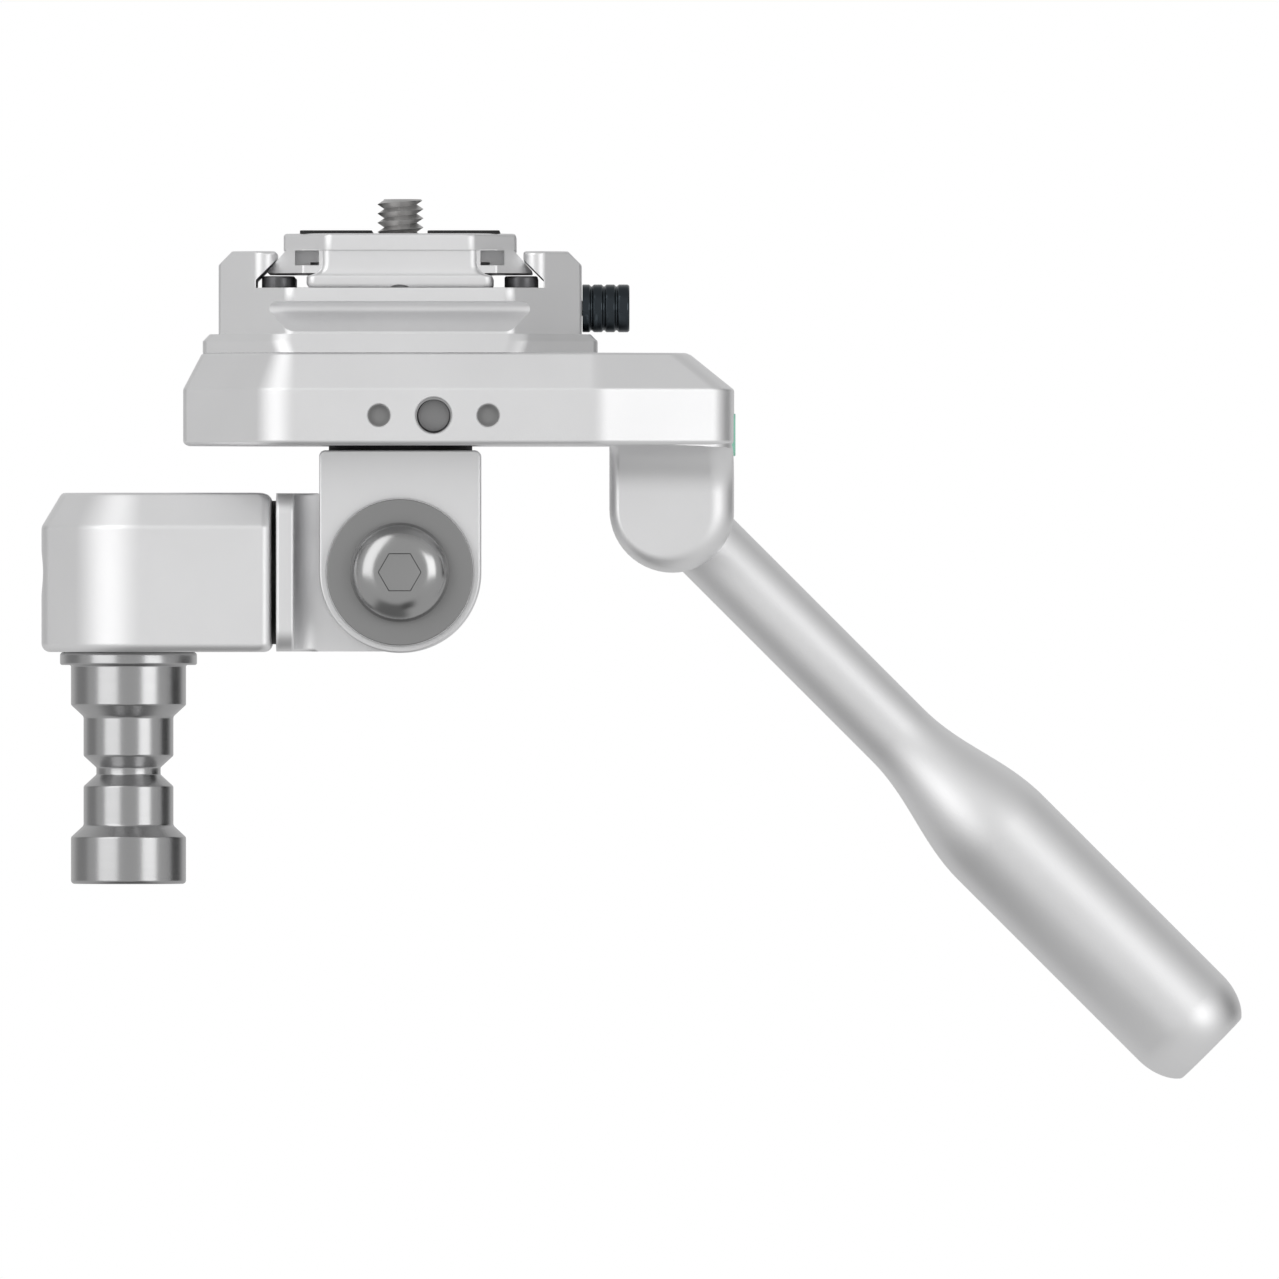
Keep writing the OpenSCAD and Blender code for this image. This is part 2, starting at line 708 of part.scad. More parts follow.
// Generic plain inlay in the arm's end; grow widens it and reach lengthens it outwards, for its seat
module inlay_shape(grow, reach) {
    w = inlay_w / 2 + grow;
    h = inlay_h / 2 + grow;
    translate([tilt_x + body_right - inlay_t, 0, body_z + inlay_rise]) rotate([90, 0, 90])
        linear_extrude(inlay_t + reach) polygon(outline([[-w, -h], [w, -h], [w, h], [-w, h]],
            [inlay_r, inlay_r, inlay_r, inlay_r]));
}

module end_inlay() {
    color("mediumaquamarine") inlay_shape(0, 0);
}

// The set screw stands square to the handle, in the lug's round underside, and presses on the stud
module set_screw_place() {
    at_handle() rotate([0, 90, 0]) translate([0, 0, stud_r + fit]) children();
}

module handle_set_screw() {
    color("dimgray") set_screw_place() difference() {
        cylinder(r = set_screw_r, h = set_screw_len, $fn = 32);
        translate([0, 0, set_screw_len - set_screw_r])
            cylinder(r = set_screw_r * hex_key_share, h = over + set_screw_r, $fn = 6);
    }
}

module handle_stud() {
    color("dimgray") at_handle() translate([0, 0, socket_from - stud_in_lug])
        cylinder(r = stud_r, h = stud_in_lug + stud_in_stem, $fn = 48);
}

// Stem, smooth flare, long grip and rounded end, turned about the handle's axis
module handle() {
    flare_z = stem_len;
    grip_z = flare_z + flare_len;
    end_z = grip_z + grip_len - grip_end_len;
    tip_z = grip_z + grip_len;
    flare = [for (i = [1:flare_steps]) let (s = i / flare_steps)
        [stem_r + (grip_r - stem_r) * (1 - cos(180 * s)) / 2, flare_z + flare_len * s]];
    tip = [for (i = [1:grip_end_steps]) let (a = 60 * i / grip_end_steps)
        [grip_r - grip_end_in * (1 - cos(a)) * 2, end_z + grip_end_len * sin(a) / sin(60)]];
    color("silver") at_handle() difference() {
        rotate_extrude($fn = 96) polygon(concat(
            [[0, socket_from], [stem_r, socket_from], [stem_r, flare_z]],
            flare, [[grip_r, end_z]], tip, [[0, tip_z]]));
        translate([0, 0, socket_from - over])
            cylinder(r = stud_r + thread_fit, h = stud_in_stem + over + edge, $fn = 48);
    }
}

module at_clamp_screws() {
    for (sx = [-1, 1], sy = [-1, 1]) translate([sx * clamp_screw_x, sy * clamp_screw_y, 0]) children();
}

// Plan of the platform at height z, its sides drawn in by d; its front and back carry the body's slope on
function platform_plan(z, d) =
    let (w = platform_w / 2 - d, depth = platform_d / 2, half = depth - z * body_slope_in / body_slope_h)
    let (cut = w + half - (platform_w / 2 + depth - platform_corner - sqrt(2) * d))
    eight_sides(-w, w, half, cut, platform_corner_r);

module platform() {
    wall_top = platform_h - platform_edge;
    color("silver") translate([tilt_x, 0, platform_z]) difference() {
        hull() {
            slice(platform_plan(0, 0), 0);
            slice(platform_plan(wall_top, 0), wall_top);
            slice(platform_plan(platform_h, platform_edge), platform_h - skin);
        }
        translate([0, 0, -over]) at_clamp_screws()
            cylinder(r = clamp_screw_r + fit, h = platform_h + 2 * over, $fn = 32);
    }
}

// Half profile of the clamp from its centre line outwards, then mirrored
function clamp_profile() =
    let (w = clamp_w / 2, top = clamp_h, e = jaw_inner_edge)
    let (slope_top = floor_h + groove_foot + groove_half - jaw_half)
    let (right = [[groove_half, floor_h], [groove_half, floor_h + groove_foot], [jaw_half, slope_top],
        [jaw_half, top - e], [jaw_half + e, top], [w - jaw_edge, top], [w, top - jaw_edge], [w, 0]])
    concat(right, [for (i = [len(right) - 1:-1:0]) [-right[i].x, right[i].y]]);

// Plan of the right jaw: a slim nose at each end, between the channel and the slanted corner
function jaw_plan() =
    let (w = clamp_w / 2, side = clamp_d / 2 - clamp_corner, nose = side + w - jaw_half)
    outline([[jaw_half, -nose], [w, -side], [w, side], [jaw_half, nose]],
        [jaw_nose_r, clamp_corner_r / 2, clamp_corner_r / 2, jaw_nose_r]);

module clamp() {
    w = clamp_w / 2;
    d = clamp_d / 2;
    scoop_top = floor_h - lip_t;
    color("silver") translate([tilt_x, 0, clamp_z]) difference() {
        intersection() {
            along_y(clamp_d) polygon(clamp_profile());
            union() {
                linear_extrude(floor_h) polygon(eight_sides(-w, w, d, clamp_corner, clamp_corner_r));
                linear_extrude(clamp_h) {
                    polygon(jaw_plan());
                    mirror([1, 0]) polygon(jaw_plan());
                }
            }
        }
        // Finger scoop under the front and back edges
        for (side = [-1, 1]) translate([-clamp_w, 0, 0]) rotate([90, 0, 90]) linear_extrude(2 * clamp_w)
            polygon([[side * (d - scoop_in), scoop_top], [side * (d + over), scoop_top],
                [side * (d + over), scoop_foot], [side * d, scoop_foot],
                [side * (d - scoop_in), scoop_top - scoop_back_h]]);
        translate([0, 0, -over]) at_clamp_screws() cylinder(r = clamp_screw_r + fit, h = clamp_h, $fn = 32);
        // Well of the lock pin
        translate([lock_x, 0, -over]) cylinder(r = lock_r + fit, h = clamp_h, $fn = 48);
        // Bore of the release rod, and the bush's seat at its mouth
        translate([0, 0, knob_rise]) rotate([0, 90, 0]) {
            translate([0, 0, lock_x - rod_r - over]) cylinder(r = release_bore_r, h = clamp_w, $fn = 48);
            translate([0, 0, w - bush_len])
                cylinder(r = bush_r + thread_fit, h = bush_len + over, $fn = 48);
        }
    }
}

module clamp_screws() {
    color("dimgray") translate([tilt_x, 0, floor_z]) at_clamp_screws()
        socket_screw(clamp_screw_r, floor_h + platform_h + clamp_screw_tip, clamp_head_r, clamp_head_h);
}

module release_bush() {
    color("gray") at_release(clamp_w / 2 - bush_len) difference() {
        cylinder(r = bush_r, h = bush_len, $fn = 48);
        translate([0, 0, -over]) cylinder(r = rod_neck_r + fit, h = bush_len + 2 * over, $fn = 48);
    }
}

// Frame on the release axis: z runs outwards from x right of the pan axis
module at_release(x) {
    translate([tilt_x + x, 0, clamp_z + knob_rise]) rotate([0, 90, 0]) children();
}

// One ring of the spring's wire, square to the helix at step k
function spring_ring(k, coil_r, pitch) =
    let (a = 360 * k / spring_steps, lean = atan(pitch / (2 * PI * coil_r)))
    [for (j = [0:spring_sides - 1])
        let (b = 360 * j / spring_sides, u = spring_wire_r * cos(b), w = spring_wire_r * sin(b))
        [(coil_r + u) * cos(a) + w * sin(lean) * sin(a), (coil_r + u) * sin(a) - w * sin(lean) * cos(a),
         pitch * k / spring_steps + w * cos(lean)]];

// Coil spring round the rod, between its head and the bush
module release_spring() {
    from = lock_x + rod_head_len;
    coil_r = (rod_neck_r + rod_r) / 2;
    reach = spring_wire_r + thread_fit;
    rings = spring_turns * spring_steps;
    pitch = (clamp_w / 2 - bush_len - from - 2 * reach) / spring_turns;
    sides = spring_sides;
    color("gray") at_release(from + reach) polyhedron(
        points = [for (k = [0:rings]) each spring_ring(k, coil_r, pitch)],
        faces = concat(
            [[for (j = [0:sides - 1]) j]],
            [for (k = [0:rings - 1], j = [0:sides - 1])
                let (p = k * sides + j, q = k * sides + (j + 1) % sides)
                each [[p, p + sides, q], [q, p + sides, q + sides]]],
            [[for (j = [sides - 1:-1:0]) rings * sides + j]]));
}

// Half space over the 45 degree ramp between the rod and the lock pin, moved along x by shift
module over_ramp(shift) {
    size = 2 * clamp_w;
    translate([tilt_x + lock_x + shift, 0, clamp_z + knob_rise + lock_lift]) rotate([0, -45, 0])
        translate([-size / 2, -size / 2, 0]) cube(size);
}

module release_rod() {
    color("gainsboro") difference() {
        union() {
            at_release(lock_x - rod_r) cylinder(r = rod_r, h = rod_r + rod_head_len, $fn = 48);
            at_release(lock_x)
                cylinder(r = rod_neck_r, h = clamp_w / 2 + knob_gap + knob_len / 2 - lock_x, $fn = 48);
        }
        over_ramp(ramp_gap);
    }
}

// Ridged pull knob, turned about the release axis
module release_knob() {
    pitch = knob_len / knob_ridges;
    ridge = [for (i = [0:knob_ridges - 1]) each [
        [knob_r - knob_groove, i * pitch], [knob_r, i * pitch + knob_groove],
        [knob_r, (i + 1) * pitch - knob_groove], [knob_r - knob_groove, (i + 1) * pitch]]];
    color("darkslategray") at_release(clamp_w / 2 + knob_gap) difference() {
        rotate_extrude($fn = 64) polygon(concat([[0, 0]], ridge, [[0, knob_len]]));
        translate([0, 0, -over])
            cylinder(r = rod_neck_r + thread_fit, h = knob_len / 2 + over + edge, $fn = 48);
    }
}

module lock_pin() {
    color("gainsboro") intersection() {
        translate([tilt_x + lock_x, 0, clamp_z]) rotate_extrude($fn = 48)
            polygon([[0, 0], [lock_r, 0], [lock_r, floor_h + lock_reach - edge],
                [lock_r - edge, floor_h + lock_reach], [0, floor_h + lock_reach]]);
        over_ramp(0);
    }
}

// Half profile of the plate from its foot upwards, then mirrored
function plate_profile() =
    let (tip = dovetail_w / 2, w = plate_w / 2, slope = block_rise - wing_rise - wing_tip_h, e = plate_edge)
    let (right = [[pad_half - e, 0], [pad_half, e], [pad_half, wing_rise], [tip, wing_rise],
        [tip, wing_rise + wing_tip_h], [tip - slope, block_rise],
        [w, block_rise], [w, plate_h - e], [w - e, plate_h]])
    concat(right, [for (i = [len(right) - 1:-1:0]) [-right[i].x, right[i].y]]);

module plate() {
    d = plate_d / 2;
    w = plate_w / 2;
    head_recess = camera_head_gap + camera_head_h + 2 * fit;
    channel_r = lock_r + 2 * fit;
    channel_h = lock_reach + 2 * fit;
    color("silver") translate([tilt_x, 0, floor_z]) difference() {
        intersection() {
            along_y(plate_d) polygon(plate_profile());
            union() {
                // The top block has slanted corners, and a central tongue stands as far forward
                translate([0, 0, block_rise]) linear_extrude(plate_h)
                    polygon(eight_sides(-w, w, d, plate_corner, edge));
                translate([-dovetail_w, shoulder_in - d, 0])
                    cube([2 * dovetail_w, plate_d - 2 * shoulder_in, block_rise]);
                linear_extrude(plate_h) polygon(eight_sides(-tongue_half, tongue_half, d, edge, edge));
            }
            linear_extrude(plate_h)
                polygon(eight_sides(-dovetail_w / 2, dovetail_w / 2, d, plate_corner, edge));
        }
        // Camera screw's bore and its head's recess
        translate([0, 0, -over]) {
            cylinder(r = camera_r + fit, h = plate_h + 2 * over, $fn = 64);
            cylinder(r = camera_head_r + 2 * fit, h = over + head_recess, $fn = 64);
        }
        // Pockets beside the tongue, front and back
        for (sx = [-1, 1], sy = [-1, 1])
            translate([sx * pocket_x - pocket_w / 2, sy > 0 ? d - pocket_depth : -d - over,
                block_rise - pocket_h]) cube([pocket_w, pocket_depth + over, pocket_h]);
        // Channel that the lock pin runs in, open to the back
        translate([lock_x, 0, -over]) cylinder(r = channel_r, h = over + channel_h, $fn = 48);
        translate([lock_x - channel_r, 0, -over]) cube([2 * channel_r, plate_d, over + channel_h]);
        // Shallow round lead-in under the front and back edges
        for (side = [-1, 1]) translate([0, side * d, notch_h - notch_r]) rotate([90, 0, 0])
            cylinder(r = notch_r, h = 2 * notch_len, center = true, $fn = 64);
    }
}

module plate_pads() {
    color("black") for (side = [-1, 1])
        translate([tilt_x + (side > 0 ? rubber_in : -rubber_out), -rubber_len / 2, plate_top])
            cube([rubber_out - rubber_in, rubber_len, rubber_t]);
}

module camera_screw() {
    z0 = camera_head_gap;
    neck = z0 + camera_head_h;
    thread_z = plate_h + rubber_t;
    top = plate_h + camera_reach;
    color("lightgray") translate([tilt_x, 0, floor_z]) difference() {
        rotate_extrude($fn = 64) polygon([[0, z0], [camera_head_r - edge, z0], [camera_head_r, z0 + edge],
            [camera_head_r, neck], [camera_r - camera_neck_in, neck], [camera_r - camera_neck_in, thread_z],
            [camera_r, thread_z], [camera_r, top - edge], [camera_r - edge, top], [0, top]]);
        // Coin slot in the head
        translate([-camera_head_r - over, -slot_w / 2, z0 - over])
            cube([2 * (camera_head_r + over), slot_w, over + slot_depth]);
    }
}

spigot();
base_block();
roll_washers();
roll_screw();
roll_disc();
knuckle();
tilt_discs();
fork();
tilt_washers();
tilt_screw();
tilt_nut();
pan_disc();
pan_screw();
pan_washers();
main_body();
end_inlay();
handle_stud();
handle_set_screw();
handle();
platform();
clamp();
clamp_screws();
release_bush();
release_spring();
release_rod();
release_knob();
lock_pin();
plate();
plate_pads();
camera_screw();
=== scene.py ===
"""Three-way pan tilt head: finished pieces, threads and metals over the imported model.

Lengths in the making functions are in millimetres and become metres when a mesh is made. The origin is
on the spigot's axis, +X runs towards the handle, +Y to the back and +Z towards the camera plate.
"""

import json
import math
from contextlib import contextmanager

import bmesh
import bpy
import numpy as np
from bpy.props import FloatProperty, FloatVectorProperty, IntProperty, PointerProperty
from mathutils import Matrix, Vector

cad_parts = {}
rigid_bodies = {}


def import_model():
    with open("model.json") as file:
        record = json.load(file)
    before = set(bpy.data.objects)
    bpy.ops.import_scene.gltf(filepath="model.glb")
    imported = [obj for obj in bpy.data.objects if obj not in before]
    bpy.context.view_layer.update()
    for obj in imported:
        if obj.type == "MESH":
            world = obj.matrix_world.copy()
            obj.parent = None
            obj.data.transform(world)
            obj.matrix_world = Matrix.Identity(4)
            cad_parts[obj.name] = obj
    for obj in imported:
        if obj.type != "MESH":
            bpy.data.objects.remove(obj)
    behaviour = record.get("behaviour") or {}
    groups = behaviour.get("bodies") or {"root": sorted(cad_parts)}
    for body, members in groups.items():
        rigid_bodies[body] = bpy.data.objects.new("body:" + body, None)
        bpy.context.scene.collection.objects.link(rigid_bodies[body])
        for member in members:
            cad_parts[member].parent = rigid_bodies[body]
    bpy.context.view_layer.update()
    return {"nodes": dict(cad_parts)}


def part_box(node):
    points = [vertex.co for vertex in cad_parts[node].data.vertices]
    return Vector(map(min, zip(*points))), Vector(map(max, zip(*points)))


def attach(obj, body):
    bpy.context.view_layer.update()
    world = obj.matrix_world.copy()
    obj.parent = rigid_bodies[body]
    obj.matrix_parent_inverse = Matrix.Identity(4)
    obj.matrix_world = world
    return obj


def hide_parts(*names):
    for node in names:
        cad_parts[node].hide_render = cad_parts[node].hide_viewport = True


bl_info = {
    "name": "Three-way pan tilt head",
    "version": (1, 0, 0),
    "blender": (4, 5, 0),
    "location": "3D View > Sidebar > Tilt head",
    "description": "Makes the finished pieces, threads, metals and studio of a three-way pan tilt head",
    "category": "Mesh",
}

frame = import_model()
MM = 0.001
DEG = math.pi / 180


def low(node):
    """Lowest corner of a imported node's box, in millimetres."""
    return np.array(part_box(node)[0]) / MM


def high(node):
    """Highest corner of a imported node's box, in millimetres."""
    return np.array(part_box(node)[1]) / MM


def middle(node):
    """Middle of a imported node's box, in millimetres."""
    first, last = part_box(node)
    return (np.array(first) + np.array(last)) / 2 / MM


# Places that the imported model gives: the pan axis stands at PAN_X and crosses the tilt axis at AXIS_Z,
# and the plate's underside lies at FLOOR_Z, with the camera screw's head HEAD_LIFT over it
PAN_X = float(middle("pan_disc")[0])
AXIS_Z = float(middle("tilt_discs")[2])
BODY_Z = float(high("pan_disc")[2])
BODY_H = float(low("platform")[2]) - BODY_Z
BODY_RIGHT = float(high("main_body")[0]) - PAN_X
CLAMP_Z = float(low("clamp")[2])
HEAD_LIFT = 0.4
FLOOR_Z = float(low("camera_screw")[2]) - HEAD_LIFT
PAD_Z = float(low("plate_pads")[2])
KNOB_Z = float(middle("release_knob")[2])

# Sizes that several pieces share
BODY_HALF = 23
BLOCK_LEFT = -11.94
END_BOW, BOW_HALF = 0.6, 16.7
LUG_R, LUG_DROP = 8.7, 8.8
LUG = PAN_X + BODY_RIGHT - LUG_R, 0, BODY_Z - LUG_DROP
EAR_OUT = 13
SCREW_X, SCREW_Y = 16.7, 13
CLAMP_D = 19


# Sizes and colours that a user would change

def length(name, text, default):
    """Length property up to 20 mm, whose default is given in millimetres."""
    return FloatProperty(name=name, description=text, default=default * MM, min=0, max=0.02,
                         unit="LENGTH", precision=5)


def colour(name, text, default):
    """Colour property of a finish."""
    return FloatVectorProperty(name=name, description=text, subtype="COLOR", size=3, default=default,
                               min=0, max=1)


def roughness(name, text, default):
    """Roughness property of a finish."""
    return FloatProperty(name=name, description=text, default=default, min=0, max=1, subtype="FACTOR")


class HeadShape(bpy.types.PropertyGroup):
    """Sizes of the finished edges, threads and ridges."""
    edge: length("Small edge", "Radius of the fork's small machined edges", 0.3)
    slope_edge: length("Slope edge", "Radius where an upright wall meets its sloping top band", 0.9)
    lug_edge: length("Lug edge", "Radius of the lug's long edges", 3.2)
    lug_hollow: length("Lug hollow", "Radius of the hollow over the lug's faces", 6.5)
    pitch: length("Thread pitch", "Distance between the camera screw's crests", 1.27)
    thread_depth: length("Thread depth", "Depth of the camera screw's thread", 0.95)
    ridges: IntProperty(name="Knob ridges", description="Number of ridges round the pull knob",
                        default=4, min=2, max=8)
    arc_steps: IntProperty(name="Arc steps", description="Faces in a rounded corner", default=8,
                           min=3, max=16)


class HeadFinish(bpy.types.PropertyGroup):
    """Colours and roughness of the finishes."""
    aluminium: colour("Aluminium", "Bead blasted, clear anodised aluminium", (0.88, 0.88, 0.885))
    aluminium_rough: roughness("Aluminium roughness", "Roughness of the blasted aluminium", 0.48)
    steel: colour("Steel", "Turned steel of the spigot", (0.44, 0.44, 0.443))
    steel_rough: roughness("Steel roughness", "Roughness of the turned steel", 0.24)
    screw: colour("Tilt screw", "Polished steel of the round screw", (0.42, 0.42, 0.42))
    washer: colour("Washer", "Ground grey washers", (0.33, 0.33, 0.33))
    thread: colour("Camera screw", "Steel of the camera screw", (0.6, 0.595, 0.59))
    blackened: colour("Dark steel", "Black oxide on the small screws", (0.12, 0.12, 0.125))
    friction: colour("Friction disc", "Black friction discs", (0.02, 0.02, 0.02))
    rubber: colour("Rubber", "Black pads under the camera", (0.02, 0.02, 0.02))
    knob: colour("Knob", "Glossy dark pull knob", (0.05, 0.06, 0.068))
    inlay: colour("Inlay", "Pale green inlay", (0.35, 0.75, 0.58))


# Lines and rings

def arc(first, turn, steps):
    """Angles from first over turn, both in radians, in equal steps."""
    return [first + turn * i / steps for i in range(steps + 1)]


def arc_corner(before, at, after, radius, steps):
    """The corner at as a point, or the points of the arc that rounds it between its two neighbours."""
    before, at, after = (np.array(p, float) for p in (before, at, after))
    if radius <= 0:
        return [at]
    u, v = before - at, after - at
    u, v = u / np.linalg.norm(u), v / np.linalg.norm(v)
    half = math.acos(max(-1, min(1, float(u @ v)))) / 2
    centre = at + (u + v) / np.linalg.norm(u + v) * radius / math.sin(half)
    start = at + u * radius / math.tan(half) - centre
    end = at + v * radius / math.tan(half) - centre
    first = math.atan2(start[1], start[0])
    turn = (math.atan2(end[1], end[0]) - first + 3 * math.pi) % (2 * math.pi) - math.pi
    return [centre + radius * np.array([math.cos(a), math.sin(a)]) for a in arc(first, turn, steps)]


def round_outline(corners, radii, steps):
    """Closed outline through the corners, each rounded with its own radius."""
    n = len(corners)
    return [p for i in range(n)
            for p in arc_corner(corners[i - 1], corners[i], corners[(i + 1) % n], radii[i], steps)]


def round_line(points, radii, steps):
    """Open line through the points, whose inner ones are rounded."""
    inner = [p for i in range(1, len(points) - 1)
             for p in arc_corner(*points[i - 1:i + 2], radii[i], steps)]
    return [np.array(points[0], float), *inner, np.array(points[-1], float)]


def mirrored(corners):
    """Corners of an outline's front half, followed by those of its back half."""
    return corners + [(x, -y) for x, y in reversed(corners)]


def rectangle(half_w, half_d):
    """Corners of a rectangle about the origin."""
    return mirrored([(-half_w, -half_d), (half_w, -half_d)])


def soft_rectangle(half_w, half_d, radius, steps):
    """Outline of a rectangle with rounded corners."""
    return round_outline(rectangle(half_w, half_d), [radius] * 4, steps)


def eight_sides(half_w, half_d, cut, radius, steps):
    """Outline of a rectangle whose corners are cut at 45 degrees and then rounded."""
    w, d, c, r = half_w, half_d, cut, radius
    return round_outline(mirrored([(-w, c - d), (c - w, -d), (w - c, -d), (w, c - d)]),
                         [r / 2, r, r, r / 2] * 2, steps)


def drawn_cut(cut, inset):
    """How much of a 45 degree corner cut is left when its outline is drawn in."""
    return cut - (2 - math.sqrt(2)) * inset


def over_pan(outline, base, z):
    """Ring on the pan axis: an outline in plan at height z over base."""
    return [(PAN_X + x, y, base + z) for x, y in outline]


def lifted(place, outline, z):
    """Ring in a place: an outline in plan at height z."""
    return [tuple(place @ Vector((x, y, z))) for x, y in outline]


# Meshes

def placed(name, data):
    """New object at the origin for a mesh, a lamp or a camera."""
    piece = bpy.data.objects.new(name, data)
    bpy.context.scene.collection.objects.link(piece)
    return piece


def remove(piece):
    """Takes a helper piece and its mesh away."""
    mesh = piece.data
    bpy.data.objects.remove(piece)
    bpy.data.meshes.remove(mesh)


@contextmanager
def edited(mesh, *sources):
    """Working copy of the mesh, or of the sources together, that is written to the mesh at the end."""
    work = bmesh.new()
    for source in sources or (mesh,):
        work.from_mesh(source)
    yield work
    work.to_mesh(mesh)
    work.free()


def face_outwards(work):
    """Turns the faces of a closed working copy outwards."""
    bmesh.ops.recalc_face_normals(work, faces=work.faces)
    if work.calc_volume(signed=True) < 0:
        bmesh.ops.reverse_faces(work, faces=work.faces)


def new_piece(name, points, faces):
    """Object at the origin from points in millimetres, its faces turned outwards."""
    mesh = bpy.data.meshes.new(name)
    mesh.from_pydata([tuple(float(c) * MM for c in p) for p in points], [], faces)
    with edited(mesh) as work:
        bmesh.ops.remove_doubles(work, verts=work.verts, dist=1e-7)
        face_outwards(work)
    return placed(name, mesh)


def bands(rings, n):
    """Faces between neighbouring rings of n points each."""
    return [(k * n + j, k * n + (j + 1) % n, (k + 1) * n + (j + 1) % n, (k + 1) * n + j)
            for k in range(rings - 1) for j in range(n)]


def loft(name, rings):
    """Closed piece through rings with the same number of points each."""
    n, last = len(rings[0]), len(rings) - 1
    faces = [tuple(range(n - 1, -1, -1)), *bands(len(rings), n), tuple(last * n + j for j in range(n))]
    return new_piece(name, [p for ring in rings for p in ring], faces)


def prism(name, outline, base, heights):
    """Upright prism on the pan axis from an outline in plan."""
    return loft(name, [over_pan(outline, base, z) for z in heights])


def bar(name, outline, base, reach):
    """Level prism along Y, centred on the pan axis, from an outline in (x, z)."""
    return loft(name, [[(PAN_X + x, y, base + z) for x, z in outline] for y in (-reach, reach)])


def lathe(name, profile, place=None, steps=96, closed=False):
    """Piece turned about local Z from a line of (radius, height); a ring where the line is closed."""
    points, faces, rows = [], [], []
    for r, z in profile:
        if r < 1e-9:
            rows.append([len(points)] * steps)
            points.append((0, 0, z))
        else:
            rows.append(list(range(len(points), len(points) + steps)))
            points += [(r * math.cos(2 * math.pi * j / steps), r * math.sin(2 * math.pi * j / steps), z)
                       for j in range(steps)]
    pairs = list(zip(rows[:-1], rows[1:])) + ([(rows[-1], rows[0])] if closed else [])
    for low_row, high_row in pairs:
        for j in range(steps):
            k = (j + 1) % steps
            face = tuple(dict.fromkeys((low_row[j], low_row[k], high_row[k], high_row[j])))
            if len(face) > 2:
                faces.append(face)
    if place is not None:
        points = [tuple(place @ Vector(p)) for p in points]
    return new_piece(name, points, faces)


def rod(name, radius, start, end, place, steps):
    """Plain cylinder along a place's Z axis, to cut with."""
    return lathe(name, [(0, start), (radius, start), (radius, end), (0, end)], place, steps)


def at(x, y, z, turn=0.0, axis="X"):
    """Place in millimetres, turned about one axis by degrees."""
    return Matrix.Translation((x, y, z)) @ Matrix.Rotation(turn * DEG, 4, axis)


def settled(piece):
    """Turns a piece's modifiers into its plain mesh."""
    graph = bpy.context.evaluated_depsgraph_get()
    mesh = bpy.data.meshes.new_from_object(piece.evaluated_get(graph), preserve_all_data_layers=True,
                                           depsgraph=graph)
    old = piece.data
    piece.modifiers.clear()
    piece.data = mesh
    mesh.name = piece.name
    bpy.data.meshes.remove(old)
    return piece


def cut(piece, *tools, how="DIFFERENCE"):
    """Cuts the tools out of a piece and removes them."""
    for tool in tools:
        step = piece.modifiers.new("cut", "BOOLEAN")
        step.operation, step.object, step.solver = how, tool, "EXACT"
        settled(piece)
        remove(tool)
    return piece


def joined(name, *parts):
    """One piece from several."""
    mesh = bpy.data.meshes.new(name)
    with edited(mesh, *[part.data for part in parts]):
        pass
    for part in parts:
        remove(part)
    return placed(name, mesh)


def packed_copy(name, node):
    """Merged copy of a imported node, with its flat faces whole again."""
    mesh = bpy.data.meshes.new(name)
    with edited(mesh, frame["nodes"][node].data) as work:
        bmesh.ops.remove_doubles(work, verts=work.verts, dist=2e-6)
        bmesh.ops.dissolve_limit(work, angle_limit=0.6 * DEG, verts=work.verts, edges=work.edges,
                                 delimit={"NORMAL"})
    return placed(name, mesh)


def soften(piece, width, segments=3, wanted=None, sharp=32):
    """Rounds the sharp edges with a small radius, all of them or those whose middle wanted picks."""
    with edited(piece.data) as work:
        layers = work.edges.layers.float
        layer = layers.get("bevel_weight_edge") or layers.new("bevel_weight_edge")
        for edge in work.edges:
            if len(edge.link_faces) == 2 and edge.calc_face_angle(0) >= sharp * DEG:
                centre = (edge.verts[0].co + edge.verts[1].co) / 2 / MM
                edge[layer] = 1.0 if wanted is None else float(wanted(centre))
    step = piece.modifiers.new("edges", "BEVEL")
    step.limit_method, step.width, step.segments = "WEIGHT", width, segments
    step.use_clamp_overlap = False
    step.miter_outer = "MITER_ARC"
    return settled(piece)


def smooth(piece, angle=35):
    """Smooth shading whose flat faces stay flat."""
    mesh = piece.data
    mesh.shade_smooth()
    mesh.set_sharp_from_angle(angle=angle * DEG)
    step = piece.modifiers.new("shading", "WEIGHTED_NORMAL")
    step.mode, step.weight, step.keep_sharp = "FACE_AREA", 60, True
    return settled(piece)


def hand_over(piece, finish, body, slot, *nodes):
    """Gives a piece its finish, its body and the nodes that it stands for. Its record slot is not used."""
    piece.data.materials.clear()
    piece.data.materials.append(finish)
    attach(piece, body)
    if nodes:
        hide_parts(*nodes)
    return piece


def hand_over_satin(piece, body, *nodes):
    """Hands over a piece of blasted aluminium."""
    return hand_over(piece, FINISHES["aluminium"], body, "satin_aluminium", *nodes)


# Node trees

